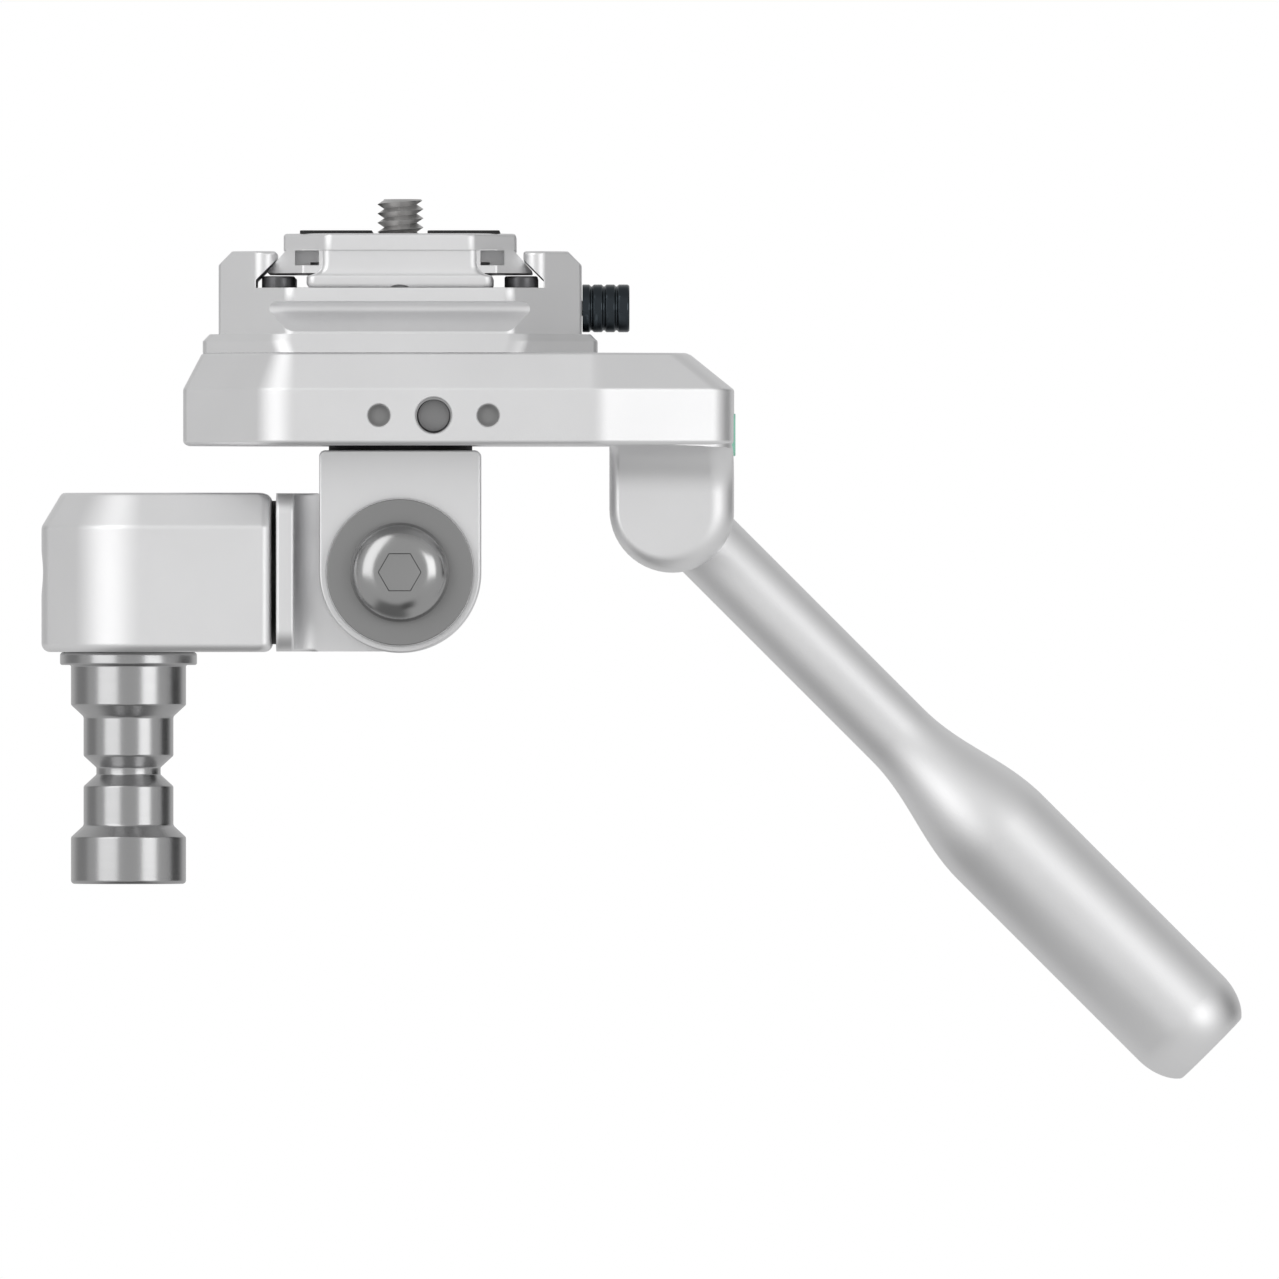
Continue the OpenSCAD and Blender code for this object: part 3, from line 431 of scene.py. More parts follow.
class Graph:
    """Node tree with short ways to add nodes and join them."""

    def __init__(self, tree, empty=False):
        self.tree = tree
        if empty:
            tree.nodes.clear()

    def add(self, kind, inputs=(), **values):
        """New node, its properties set and its inputs fed by their name or number."""
        node = self.tree.nodes.new(kind)
        for key, value in values.items():
            setattr(node, key, value)
        for key, source in dict(inputs).items():
            self.feed(node.inputs[key], source)
        return node

    def feed(self, target, source):
        """Joins a socket, or writes a plain value."""
        if isinstance(source, bpy.types.NodeSocket):
            self.tree.links.new(source, target)
        else:
            target.default_value = source

    def math(self, how, *sources):
        return self.add("ShaderNodeMath", enumerate(sources), operation=how).outputs[0]

    def spread(self, source, start, end, first, last, **values):
        """Spreads the range from start to end over the range from first to last."""
        ends = {"Value": source, "From Min": start, "From Max": end, "To Min": first, "To Max": last}
        return self.add("ShaderNodeMapRange", ends, **values).outputs["Result"]

    def step(self, *ends):
        """Smooth step between two levels."""
        return self.spread(*ends, interpolation_type="SMOOTHSTEP")


# Finishes

class Finish(Graph):
    """Material whose noises lie on the piece's own coordinates."""
    NOISE_ENDS = 0.3, 0.7

    def __init__(self, name, metal):
        self.material = bpy.data.materials.new(name)
        self.material.use_nodes = True
        super().__init__(self.material.node_tree)
        self.shader = self.tree.nodes["Principled BSDF"].inputs
        self.shader["Metallic"].default_value = metal
        self.place = self.add("ShaderNodeTexCoord").outputs["Object"]

    def noise(self, scale, detail=2.0, rough=0.5, along=(1, 1, 1)):
        """Noise in a space that is stretched along each axis."""
        place = self.add("ShaderNodeMapping", {"Vector": self.place, "Scale": along}).outputs["Vector"]
        return self.add("ShaderNodeTexNoise", {"Vector": place, "Scale": scale, "Detail": detail,
                                               "Roughness": rough}).outputs["Fac"]

    def tint(self, source, colour, spread):
        """Colour that varies a little in lightness."""
        dark, light = ((*[min(1, c * (1 + way * spread)) for c in colour], 1) for way in (-1, 1))
        share = self.spread(source, *self.NOISE_ENDS, 0, 1)
        mix = self.add("ShaderNodeMix", {0: share, 6: dark, 7: light}, data_type="RGBA")
        self.feed(self.shader["Base Color"], mix.outputs[2])

    def rough(self, source, level, spread):
        """Roughness that varies a little round its level."""
        self.feed(self.shader["Roughness"],
                  self.spread(source, *self.NOISE_ENDS, level - spread, level + spread))

    def bump(self, source, distance):
        bump = self.add("ShaderNodeBump", {"Strength": 1.0, "Distance": distance, "Height": source})
        self.feed(self.shader["Normal"], bump.outputs["Normal"])


def blasted_metal(name, colour, rough):
    """Bead blasted and anodised: even satin with a very fine grain."""
    f = Finish(name, 1.0)
    f.tint(f.noise(45, 3), colour, 0.012)
    f.rough(f.noise(90, 4), rough, 0.015)
    f.bump(f.noise(5200, 2, 0.6), 0.000006)
    return f.material


def turned_metal(name, colour, rough, along=(1, 1, 1), grain=0.000002):
    """Turned on a lathe: fine rings across the axis."""
    f = Finish(name, 1.0)
    rings = f.noise(60, 2, 0.6, along)
    f.tint(f.noise(30, 2), colour, 0.02)
    f.rough(rings, rough, 0.01)
    f.bump(rings, grain)
    return f.material


def coated(name, colour, rough, grain_scale, grain, metal=0.0, spread=0.08):
    """Rubber, plastic or oxide: a dull skin with a fine grain."""
    f = Finish(name, metal)
    f.tint(f.noise(grain_scale / 8, 3), colour, spread)
    f.rough(f.noise(grain_scale / 3, 3), rough, 0.04)
    f.bump(f.noise(grain_scale, 3, 0.6), grain)
    return f.material


FINISHES = {}


def make_finishes():
    """All the finishes, by name."""
    look = bpy.context.scene.head_finish
    FINISHES.update(
        aluminium=blasted_metal("blasted_aluminium", look.aluminium, look.aluminium_rough),
        steel=turned_metal("turned_steel", look.steel, look.steel_rough, (1, 1, 60), 0.0000003),
        nut=turned_metal("nut_steel", look.steel, 0.3, (1, 40, 1)),
        screw=turned_metal("polished_screw", look.screw, 0.22, grain=0.0000006),
        washer=turned_metal("ground_washer", look.washer, 0.5, grain=0.000003),
        thread=turned_metal("thread_steel", look.thread, 0.45, (1, 1, 30)),
        blackened=coated("black_oxide", look.blackened, 0.35, 3000, 0.000004, metal=0.9),
        friction=coated("friction_fibre", look.friction, 0.75, 2500, 0.00001),
        rubber=coated("pad_rubber", look.rubber, 0.8, 2200, 0.00002),
        knob=turned_metal("knob_gloss", look.knob, 0.16, (60, 1, 1)),
        inlay=coated("inlay_satin", look.inlay, 0.35, 2000, 0.000003, spread=0.03),
    )


# Geometry Nodes

THREAD_ROWS = 12


class Tree(Graph):
    """A Geometry Nodes tree with named inputs."""

    def __init__(self, name, inputs, material):
        super().__init__(bpy.data.node_groups.new(name, "GeometryNodeTree"))
        self.ids = {}
        face = self.tree.interface
        face.new_socket("Geometry", in_out="INPUT", socket_type="NodeSocketGeometry")
        for key, kind, value in inputs:
            socket = face.new_socket(key, in_out="INPUT", socket_type=kind)
            socket.default_value = value
            self.ids[key] = socket.identifier
        face.new_socket("Geometry", in_out="OUTPUT", socket_type="NodeSocketGeometry")
        self.given = self.add("NodeGroupInput").outputs
        self.material = material

    def end(self, geometry):
        """Realize Instances and Set Material close every tree."""
        real = self.add("GeometryNodeRealizeInstances", {0: geometry}).outputs[0]
        paint = self.add("GeometryNodeSetMaterial", {"Geometry": real, "Material": self.material})
        self.add("NodeGroupOutput", {0: paint.outputs[0]})

    def grown(self, piece, **values):
        """The piece's mesh as the tree makes it."""
        step = piece.modifiers.new("grow", "NODES")
        step.node_group = self.tree
        for key, value in values.items():
            step[self.ids[key]] = value
        return settled(piece)


def thread_tree(material):
    """Upright right-handed V thread: a grid whose rows climb with the helix. All lengths in metres."""
    t = Tree("v_thread", [
        ("radius", "NodeSocketFloat", 0.003175), ("depth", "NodeSocketFloat", 0.0007),
        ("pitch", "NodeSocketFloat", 0.00127), ("length", "NodeSocketFloat", 0.005),
        ("lead_in", "NodeSocketFloat", 0.0005), ("around", "NodeSocketInt", 97),
        ("along", "NodeSocketInt", 100), ("rows a pitch", "NodeSocketInt", THREAD_ROWS)], material)
    given = t.given
    grid = t.add("GeometryNodeMeshGrid", {"Size X": 1.0, "Size Y": 1.0, "Vertices X": given["around"],
                                          "Vertices Y": given["along"]})
    spot = t.add("GeometryNodeInputPosition").outputs[0]
    place = t.add("ShaderNodeSeparateXYZ", {0: spot}).outputs
    turn = t.math("ADD", place[0], 0.5)
    row = t.math("MULTIPLY", t.math("ADD", place[1], 0.5), t.math("SUBTRACT", given["along"], 1.0))
    climb = t.math("ADD", t.math("SUBTRACT", t.math("DIVIDE", row, given["rows a pitch"]), 1.0), turn)
    free = t.math("MULTIPLY", climb, given["pitch"])
    height = t.math("MINIMUM", t.math("MAXIMUM", free, 0.0), given["length"])
    wave = t.math("PINGPONG", t.math("SUBTRACT", t.math("DIVIDE", height, given["pitch"]), turn), 0.5)
    crest = t.math("MULTIPLY", wave, 2.0)
    flank = t.math("SUBTRACT", given["radius"], t.math("MULTIPLY", given["depth"], crest))
    to_end = t.math("SUBTRACT", given["length"], height)
    cap = t.math("ADD", t.math("SUBTRACT", given["radius"], given["lead_in"]), to_end)
    radius = t.math("MINIMUM", flank, cap)
    angle = t.math("MULTIPLY", turn, 2 * math.pi)
    around = t.add("ShaderNodeCombineXYZ", {0: t.math("MULTIPLY", radius, t.math("COSINE", angle)),
                                            1: t.math("MULTIPLY", radius, t.math("SINE", angle)),
                                            2: height}).outputs[0]
    wrap = t.add("GeometryNodeSetPosition", {"Geometry": grid.outputs["Mesh"], "Position": around})
    weld = t.add("GeometryNodeMergeByDistance", {"Geometry": wrap.outputs[0], "Distance": 1e-6})
    t.end(weld.outputs[0])
    return t


def make_thread(name, finish, pitch, rows, **sizes):
    """Closed thread on the Z axis, from lengths in metres."""
    piece = thread_tree(finish).grown(placed(name, bpy.data.meshes.new(name)), pitch=pitch, along=rows,
                                      **sizes)
    with edited(piece.data) as work:
        bmesh.ops.holes_fill(work, edges=[e for e in work.edges if e.is_boundary], sides=0)
        face_outwards(work)
    return piece


def screw_row_tree(screw, material):
    """Copies of one screw on the points of the start mesh."""
    t = Tree("screw_row", [], material)
    source = t.add("GeometryNodeObjectInfo", {"Object": screw}, transform_space="ORIGINAL")
    copies = t.add("GeometryNodeInstanceOnPoints", {"Points": t.given["Geometry"],
                                                    "Instance": source.outputs["Geometry"]})
    t.end(copies.outputs[0])
    return t


# Shapes of the single pieces, in millimetres

def hexagon(flats, depth, place):
    """Cutter for a hexagon socket with a coned floor and a chamfered mouth."""
    r = flats / math.sqrt(3)
    line = [(0, -0.1 * r), (r, 0), (r, depth - 0.12), (r + 0.2, depth + 0.08), (r + 0.2, depth + 2),
            (0, depth + 2)]
    return lathe("key", line, place, steps=6)


def body_plan(inset, end_inset, z, steps):
    """Ring of the body at height z, its sides drawn in by inset and its arm's end by end_inset."""
    half, left, corner = BODY_HALF - inset, inset - 29.88, drawn_cut(12.4, inset)
    slant = 18.5 * DEG
    bend = 27.5 - inset * math.tan(slant / 2)
    end = BODY_RIGHT - END_BOW - end_inset
    end_y = half - (end - bend) * math.tan(slant)
    foot_r, end_r, bow_r, r = 2, 4.3, 300, max(1.5, 7.6 - inset)
    front = [(left, corner - half), (left + corner, -half), (bend, -half), (end, -end_y)]
    ring = round_outline([*front, (end + END_BOW, 0), *mirrored(front)[4:]],
                         [foot_r, r, r, end_r, bow_r, end_r, r, r, foot_r], steps)
    return over_pan(ring, BODY_Z, z)


def make_body_shell(steps, slope_edge):
    """Long body: rounded foot, upright wall, sloping top band that is wider at the arm's end."""
    slope_in, slope_end, slope_h, foot_r, top_r, lip, flat = 2.6, 6.2, 5.0, 0.7, 0.6, 0.9, 4
    line = round_line([(flat, 0), (0, 0), (0, BODY_H - slope_h), (slope_in, BODY_H),
                       (slope_in + lip, BODY_H)], [0, foot_r, slope_edge, top_r, 0], 5)
    rings = []
    for inset, z in line:
        if z < BODY_H / 2:
            end = inset
        elif inset <= slope_in:
            end = inset * slope_end / slope_in
        else:
            end = slope_end + inset - slope_in
        rings.append(body_plan(inset, end, z, steps))
    return loft("body_shell", rings)


def make_lug(edge_r, hollow_r):
    """Lug with a round foot, rounded edges and hollow tops, flush with the arm's bowed end."""
    half_d, into_arm, side_inset = 12.5, 0.7, 0.4
    right_angle = math.pi / 2
    heights = [into_arm, 0.0, *[-hollow_r * (1 - math.cos(a)) for a in arc(0, right_angle, 10)[1:]]]
    foot = [(math.cos(a), -math.sin(a)) for a in arc(0, right_angle, 14)]
    edge = [(edge_r, half_d), *[(edge_r * (1 - math.sin(a)), half_d - edge_r * (1 - math.cos(a)))
                                for a in arc(0, right_angle, 8)[1:]]]
    rows = [(d, -y) for d, y in edge] + [(d, y) for d, y in reversed(edge)]

    def half_ring(way, inset):
        """Line down the left side (way -1) or the right side (way 1), whose edge is wider."""
        def reach(x):
            return LUG_R - inset * (0.775 + 0.325 * x)
        return [(reach(way) * way, z) for z in heights] + [
            (reach(way * x) * way * x, reach(way * x) * z - LUG_DROP) for x, z in foot]

    points = []
    for inset, y in rows:
        for x, z in half_ring(-1, inset) + half_ring(1, inset)[::-1]:
            drop = min(max(z + hollow_r, 0), hollow_r)
            depth = y + math.copysign(hollow_r - math.sqrt(hollow_r ** 2 - drop ** 2), y)
            bow = END_BOW * min(1, (depth / BOW_HALF) ** 2) * max(0, x) / LUG_R
            points.append((LUG[0] + x - bow, depth, BODY_Z + z))
    half, last = len(heights) + len(foot), len(rows) - 1
    faces = bands(len(rows), 2 * half)
    for k in (0, last):
        for j in range(half - 1):
            a, d = 2 * half * k + j, 2 * half * (k + 1) - 1 - j
            face = (a, a + 1, d - 1, d)
            faces.append(face if k == 0 else face[::-1])
    arm = loft("arm_prism", [body_plan(side_inset, 0, z, 8) for z in (-30, into_arm)])
    return cut(new_piece("lug", points, faces), arm, how="INTERSECT")


def make_plate(steps):
    """Plate in three overlapping closed parts: top block, dovetail wings, and the tongue on its foot."""
    place = Matrix.Translation((PAN_X, 0, FLOOR_Z))
    top_z, top_h, top_half, plate_d, bore_r = 5.1, 7.45, 16, 19, 3.28
    wing_half, wing_d, tip_low, tip_high, root_half, root_z = 18.2, 17.8, 2, 2.3, 15.6, 5.2

    def outline(w, d, corner, r, z):
        return lifted(place, eight_sides(w, d, corner, r, steps), z)

    def foot_tools():
        """Camera screw's bore with the recess for its head, and the lock pin's channel."""
        left, right, end_r, recess_r, recess_h = 8.2, 12.2, 1.99, 7.2, 3.0
        channel = round_outline([(left, -2), (right, -2), (right, 20), (left, 20)], [end_r, end_r, 0, 0], 12)
        well = [(0, -1), (recess_r, -1), (recess_r, recess_h), (bore_r, recess_h), (bore_r, 9), (0, 9)]
        return [lathe("screw_well", well, place, 64), prism("channel", channel, FLOOR_Z, (-1, 1.4))]

    edge = round_line([(2, top_z), (0, top_z), (0, top_h), (2, top_h)], [0, 0.12, 0.45, 0], 4)
    top = loft("top_block", [outline(top_half - inset, plate_d - inset, drawn_cut(6.1, inset), 1.8, z)
                             for inset, z in edge])
    cut(top, rod("bore", bore_r, -1, 9, place, 64))

    front = round_outline(
        [(-wing_half, tip_low), (wing_half, tip_low), (wing_half, tip_high), (root_half, root_z),
         (-root_half, root_z), (-wing_half, tip_high)], [0.1, 0.1, 0.12, 0, 0, 0.12], 3)
    wings = bar("wings", front, FLOOR_Z, 20)
    plan = loft("wing_plan", [outline(wing_half, wing_d, 4.9, 0.6, z) for z in (-1, 8)])
    cut(wings, plan, how="INTERSECT")
    # Middle, half sizes and heights of each pocket and of the slot beside it
    pockets = []
    for side in (-1, 1):
        for end in (-1, 1):
            for x, y, half_w, half_d, heights in ((12.75, 14.5, 1.65, 4.5, (3.05, 5.1)),
                                                  (11.75, 8, 0.6, 3, (3.06, 3.55))):
                base = [(side * x + a, end * y + b) for a, b in rectangle(half_w, half_d)]
                pockets.append(prism("pocket", base, FLOOR_Z, heights))
    cut(wings, *foot_tools(), *pockets)

    # Half width, inset of the front and height of each ring, from the tongue's top to the foot
    rings = [
        (10.75, 0.4, 5.3), (10.75, 0.4, 3.4), (10.82, 0.4, 2.9), (11.0, 0.38, 2.5), (11.35, 0.34, 2.15),
        (11.8, 0.26, 1.9), (12.25, 0.14, 1.74), (12.6, 0.05, 1.64), (12.75, 0.01, 1.5), (12.8, 0, 1.35),
        (12.8, 0, 0.6), (12.72, 0.08, 0.3), (12.5, 0.3, 0.08), (12.2, 0.6, 0)]
    foot = loft("tongue", [over_pan(soft_rectangle(half_w, plate_d - inset, 1.2, steps), FLOOR_Z, z)
                           for half_w, inset, z in rings])
    notch_r, notch_h = 2.7, 0.41
    notches = [rod("notch", notch_r, -3, 3, at(PAN_X, end * plate_d, FLOOR_Z + notch_h - notch_r, 90), 64)
               for end in (-1, 1)]
    cut(foot, *foot_tools(), *notches)
    return top, wings, foot


def make_clamp(steps):
    """Clamp in three closed parts: the floor with its finger scoops, and two jaws with slim noses."""
    w, d, corner, floor_h, h, inner, tip, edge = 25, CLAMP_D, 9.7, 6.35, 11.4, 17, 19.8, 0.12 * MM
    place = Matrix.Translation((PAN_X, 0, CLAMP_Z))
    reach = 30

    def release_bore():
        """Bore for the release rod, wider at its end for the spring."""
        rod_r, spring_r, spring_len = 2, 2.68, 3
        line = [(0, 8), (rod_r, 8), (rod_r, w - spring_len), (spring_r, w - spring_len),
                (spring_r, w + 1), (0, w + 1)]
        return lathe("release_bore", line, at(PAN_X, 0, KNOB_Z, 90, "Y"), 64)

    base = loft("clamp_floor", [lifted(place, eight_sides(w, d, corner, 2.3, steps), z)
                                for z in (0, floor_h)])
    scoop_top, scoop_in, wall, foot, scoop_half, scoop_y = floor_h - 1.93, 2.6, 1.35, 0.3, 16.3, 14
    pin_x, pin_r, screw_r = 10.2, 1.88, 1.58
    tools = [release_bore(),
             rod("pin_well", pin_r, -1, 9, place @ Matrix.Translation((pin_x, 0, 0)), 48)]
    for side in (-1, 1):
        line = round_outline(
            [(side * (d - scoop_in), scoop_top), (side * (d + 1), scoop_top), (side * (d + 1), foot),
             (side * d, foot), (side * (d - scoop_in), scoop_top - wall)], [0.9, 0, 0, 0, 0.8], 8)
        tools.append(loft("cutter", [[(PAN_X + x, y, CLAMP_Z + z) for y, z in line]
                                     for x in (-reach, reach)]))
        tools += [rod("screw_bore", screw_r, -1, 9,
                      place @ Matrix.Translation((end * SCREW_X, side * SCREW_Y, 0)), 32)
                  for end in (-1, 1)]
    cut(base, *tools)
    parts = [soften(base, edge, 2, lambda c: c.z > CLAMP_Z + scoop_top - 0.02
                    and abs(c.x - PAN_X) < scoop_half and abs(c.y) > scoop_y)]

    nose, side_y = d - corner + w - inner, d - corner
    under_h, under_top = 1.05, 5.25
    levels = [(0.4, floor_h - 0.5), (0, floor_h), (0, h - 0.4), (0.05, h - 0.2), (0.15, h - 0.07), (0.35, h)]
    for side in (-1, 1):
        rings = []
        for inset, z in levels:
            ring = round_outline(mirrored([(inner + inset, 2.4 * inset - nose),
                                           (w - inset, 0.4 * inset - side_y)]),
                                 [1.8, 1.15, 1.15, 1.8], steps)
            rings.append([(PAN_X + side * x, y, CLAMP_Z + z) for x, y in ring])
        jaw = loft("jaw", rings)
        under = ((8, 4), (tip, 4), (tip, floor_h + under_h), (tip - under_top + under_h, floor_h + under_top),
                 (8, floor_h + under_top))
        slant = ((w - 2.4, h + 0.5), (w + 2, h + 0.5), (w + 2, h - 3.9))
        cut(jaw, *[bar("cutter", [(side * x, z) for x, z in line], CLAMP_Z, reach)
                   for line in (under, slant)])
        if side > 0:
            cut(jaw, release_bore())
        parts.append(soften(jaw, edge, 2, lambda c: c.z > CLAMP_Z + floor_h + 0.3))
    return parts


# Operators

class HEAD_OT_spigot(bpy.types.Operator):
    """Spigot: wide bands, two waists, the groove between them and the collar"""
    bl_idname = "head.spigot"
    bl_label = "Spigot"

    def execute(self, context):
        r, waist, groove, collar, top, end = 7.94, 6.2, 4.44, 9.45, 1.775, -30.2
        band, waist_h, groove_h, taper = 5.5, 5.4, 0.97, 1.62
        radii = (r, waist, waist, groove, groove, waist, waist, r)
        heights = -np.cumsum((band, taper, waist_h, taper, groove_h, taper, waist_h, taper))
        line = round_line([(0, end), (r, end), *list(zip(radii, heights))[::-1], (r, 0), (collar, 0),
                           (collar, top), (0, top)],
                          [0, 0.5, 0.35, 0.6, 0.4, 0.3, 0.3, 0.4, 0.6, 0.35, 0.25, 0.3, 0.45, 0], 6)
        piece = smooth(lathe("spigot_turned", line, steps=128))
        hand_over(piece, FINISHES["steel"], "base", "turned_steel", "spigot")
        return {"FINISHED"}


class HEAD_OT_base_block(bpy.types.Operator):
    """Base block: round end, sloping top edge and the recess of the roll screw"""
    bl_idname = "head.base_block"
    bl_label = "Base block"

    def execute(self, context):
        shape = context.scene.head_shape
        z0, h, slope_in, slope_h, end_r, foot_r = float(low("base_block")[2]), 21.95, 2.8, 4.7, 1.4, 1.2
        half_d, right, corner, corner_r, wide_r = 14, 19.8, 8.6, 3.5, 13

        def plan(inset, z):
            """Ring at height z, whose flat right end keeps upright but for its rounded edges."""
            over = z + end_r - h
            if over > 0:
                end_in = end_r - math.sqrt(max(0, end_r ** 2 - over ** 2)) + max(0, inset - slope_in)
            else:
                end_in = min(inset, end_r) if z < h / 2 else 0
            half, left, c = half_d - inset, BLOCK_LEFT + inset, drawn_cut(corner, inset)
            ring = round_outline(mirrored([(left, c - half), (left + c, -half), (right - end_in, -half)]),
                                 [corner_r, wide_r - inset, end_r, end_r, wide_r - inset, corner_r],
                                 shape.arc_steps * 2)
            return [(x, y, z0 + z) for x, y in ring]

        line = round_line([(3.2, 0), (0, 0), (0, h - slope_h), (slope_in, h), (slope_in + 1.5, h)],
                          [0, foot_r, shape.slope_edge / MM * 1.5, 0.8, 0], 6)
        slant = [(float(np.interp(z, (h - slope_h, h), (0, slope_in))), z)
                 for z in [h - end_r * (1 - math.sin(a)) for a in arc(0, 45 * DEG, 3)]]
        line = sorted([(d, z) for d, z in line if z < h - end_r - 0.1 or z > h - 0.35] + slant,
                      key=lambda p: (round(p[1], 4), p[0] if p[1] > h / 2 else -p[0]))
        block = loft("block_blasted", [plan(d, z) for d, z in line])
        cut(block, rod("recess", 5.2, -1, 4.9, at(BLOCK_LEFT, 0, AXIS_Z, 90, "Y"), 96))
        hand_over_satin(smooth(block), "base", "base_block")
        return {"FINISHED"}


class HEAD_OT_knuckle(bpy.types.Operator):
    """Knuckle: flange, hollow fillets and the tongue between the ears"""
    bl_idname = "head.knuckle"
    bl_label = "Knuckle"

    def execute(self, context):
        edge, flange, tongue_half = 0.45 * MM, 11, 6.9
        piece = soften(packed_copy("knuckle_blasted", "knuckle"), edge,
                       wanted=lambda c: c.x < PAN_X - flange and abs(c.y) > tongue_half)
        hand_over_satin(smooth(piece), "roll_part", "knuckle")
        return {"FINISHED"}


class HEAD_OT_fork(bpy.types.Operator):
    """Fork: two round ears and the bridge under the body"""
    bl_idname = "head.fork"
    bl_label = "Fork"

    def execute(self, context):
        bore, inner, outer, depth = 6, 10.08, 10.26, 0.25
        piece = soften(packed_copy("fork_blasted", "fork"), context.scene.head_shape.edge,
                       wanted=lambda c: math.hypot(c.x - PAN_X, c.z - AXIS_Z) > bore)
        for side in (90, -90):
            groove = [(inner, EAR_OUT - depth), (outer, EAR_OUT - depth), (outer, 14), (inner, 14)]
            cut(piece, lathe("relief", groove, at(PAN_X, 0, AXIS_Z, side), steps=128, closed=True))
        hand_over_satin(smooth(piece), "tilt_part", "fork")
        return {"FINISHED"}


class HEAD_OT_tilt_screw(bpy.types.Operator):
    """Tilt screw with its round head and hexagon socket, its washers and its lock nut"""
    bl_idname = "head.tilt_screw"
    bl_label = "Tilt screw, washers and nut"

    def execute(self, context):
        washer_h, washer_r, washer_hole = 1.6, 10.07, 4.08
        seat, r, flat_r, h, shank, key_depth = EAR_OUT + washer_h, 6.87, 2.9, 4.4, 4, 2.2
        front = at(PAN_X, 0, AXIS_Z, 90)
        rim = round_line([(shank, seat + 0.05), (r, seat), (r, seat + h / 6)], [0, 0.25, 0], 4)
        dome = [(flat_r + (r - flat_r) * math.cos(a), seat + (h / 6 + h * 5 / 6 * math.sin(a)))
                for a in arc(0, 90 * DEG, 16)[1:]]
        line = [(0, -seat - 8.8), (shank - 0.3, -seat - 8.8), (shank, -seat - 8.5), *rim, *dome,
                (0, seat + h)]
        piece = lathe("tilt_screw_polished", line, front, steps=128)
        cut(piece, hexagon(5, key_depth, front @ Matrix.Translation((0, 0, seat + h - key_depth))))
        hand_over(smooth(piece, 30), FINISHES["screw"], "tilt_part", "polished_steel", "tilt_screw")

        ring = round_line([(washer_hole, 0), (washer_r, 0), (washer_r, washer_h), (washer_hole, washer_h)],
                          [0, 0.15, 0.15, 0], 3)
        rings = [lathe("washer", [(a, EAR_OUT + b) for a, b in ring], at(PAN_X, 0, AXIS_Z, side),
                       steps=128, closed=True) for side in (90, -90)]
        hand_over(smooth(joined("washers_ground", *rings)), FINISHES["washer"], "tilt_part",
                  "washer_steel", "tilt_washers")

        nut = soften(packed_copy("tilt_nut_turned", "tilt_nut"), 0.2 * MM, 2)
        hand_over(smooth(nut), FINISHES["nut"], "tilt_part", "turned_steel", "tilt_nut")
        return {"FINISHED"}


class HEAD_OT_main_body(bpy.types.Operator):
    """Long body with its arm, lug and front holes"""
    bl_idname = "head.main_body"
    bl_label = "Main body"

    def execute(self, context):
        shape = context.scene.head_shape
        shell = make_body_shell(shape.arc_steps, shape.slope_edge / MM)
        tap_x, hole_z, spacing = 4.69, 4.07, 7.5
        hole = at(PAN_X + tap_x, -BODY_HALF, BODY_Z + hole_z, -90)
        pins = [hole @ Matrix.Translation((side, 0, 0)) for side in (-spacing, spacing)]
        # Profiles of (radius, depth into the front)
        tap = [(0, -1), (2.62, -1), (2.62, 0), (2.5, 0.12), (2.5, 8), (0, 9.4)]
        pin = [(0, -1), (1.65, -1), (1.65, 0), (1.55, 0.1), (1.55, 3.6), (1.2, 4), (0, 4)]
        cut(shell, lathe("tap_cut", tap, hole, 64), *[lathe("pin_cut", pin, place, 48) for place in pins])
        lug = make_lug(shape.lug_edge / MM, shape.lug_hollow / MM)
        hand_over_satin(smooth(joined("body_blasted", shell, lug)), "pan_part", "main_body")

        # Liner of darker steel in the tapped hole: painted shade in the hole, round a real thread.
        liner = lathe("tap_liner", [(0, 0.3), (2.495, 0.3), (2.495, 8), (0, 8.6)], hole, 64)
        thread = make_thread("tap", FINISHES["nut"], shape.pitch, THREAD_ROWS * 7 + 1, radius=2.46 * MM,
                             depth=0.3 * MM, length=7.6 * MM, lead_in=0.0)
        thread.data.transform(Matrix.Scale(MM, 4) @ hole @ Matrix.Scale(1 / MM, 4))
        hand_over(smooth(cut(liner, thread), 28), FINISHES["nut"], "pan_part", "turned_steel")
        # Grey cups of darker steel in the two pin holes: painted shade in the holes.
        cup = [(0, 1.3), (1.42, 1.3), (1.42, 0.15), (1.54, 0.15), (1.54, 3.55), (0, 3.55)]
        cups = joined("pin_cups", *[lathe("pin_cup", cup, place, 48) for place in pins])
        hand_over(smooth(cups), FINISHES["washer"], "pan_part", "washer_steel")
        return {"FINISHED"}


class HEAD_OT_inlay(bpy.types.Operator):
    """Plain green inlay in the arm's bowed end"""
    bl_idname = "head.inlay"
    bl_label = "Inlay"

    def execute(self, context):
        half_w, half_h, rise, corner_r = 7.0, 2.9, 1.5, 1.2
        rings = [[(PAN_X + BODY_RIGHT - END_BOW * (y / BOW_HALF) ** 2 + out, y, BODY_Z + rise + z)
                  for y, z in soft_rectangle(half_w - inset, half_h - inset, corner_r - inset, 8)]
                 for inset, out in ((0, -0.5), (0, 0.0), (0.06, 0.05), (0.4, 0.06))]
        piece = smooth(loft("inlay_satin", rings))
        hand_over(piece, FINISHES["inlay"], "pan_part", "green_inlay", "end_inlay")
        return {"FINISHED"}


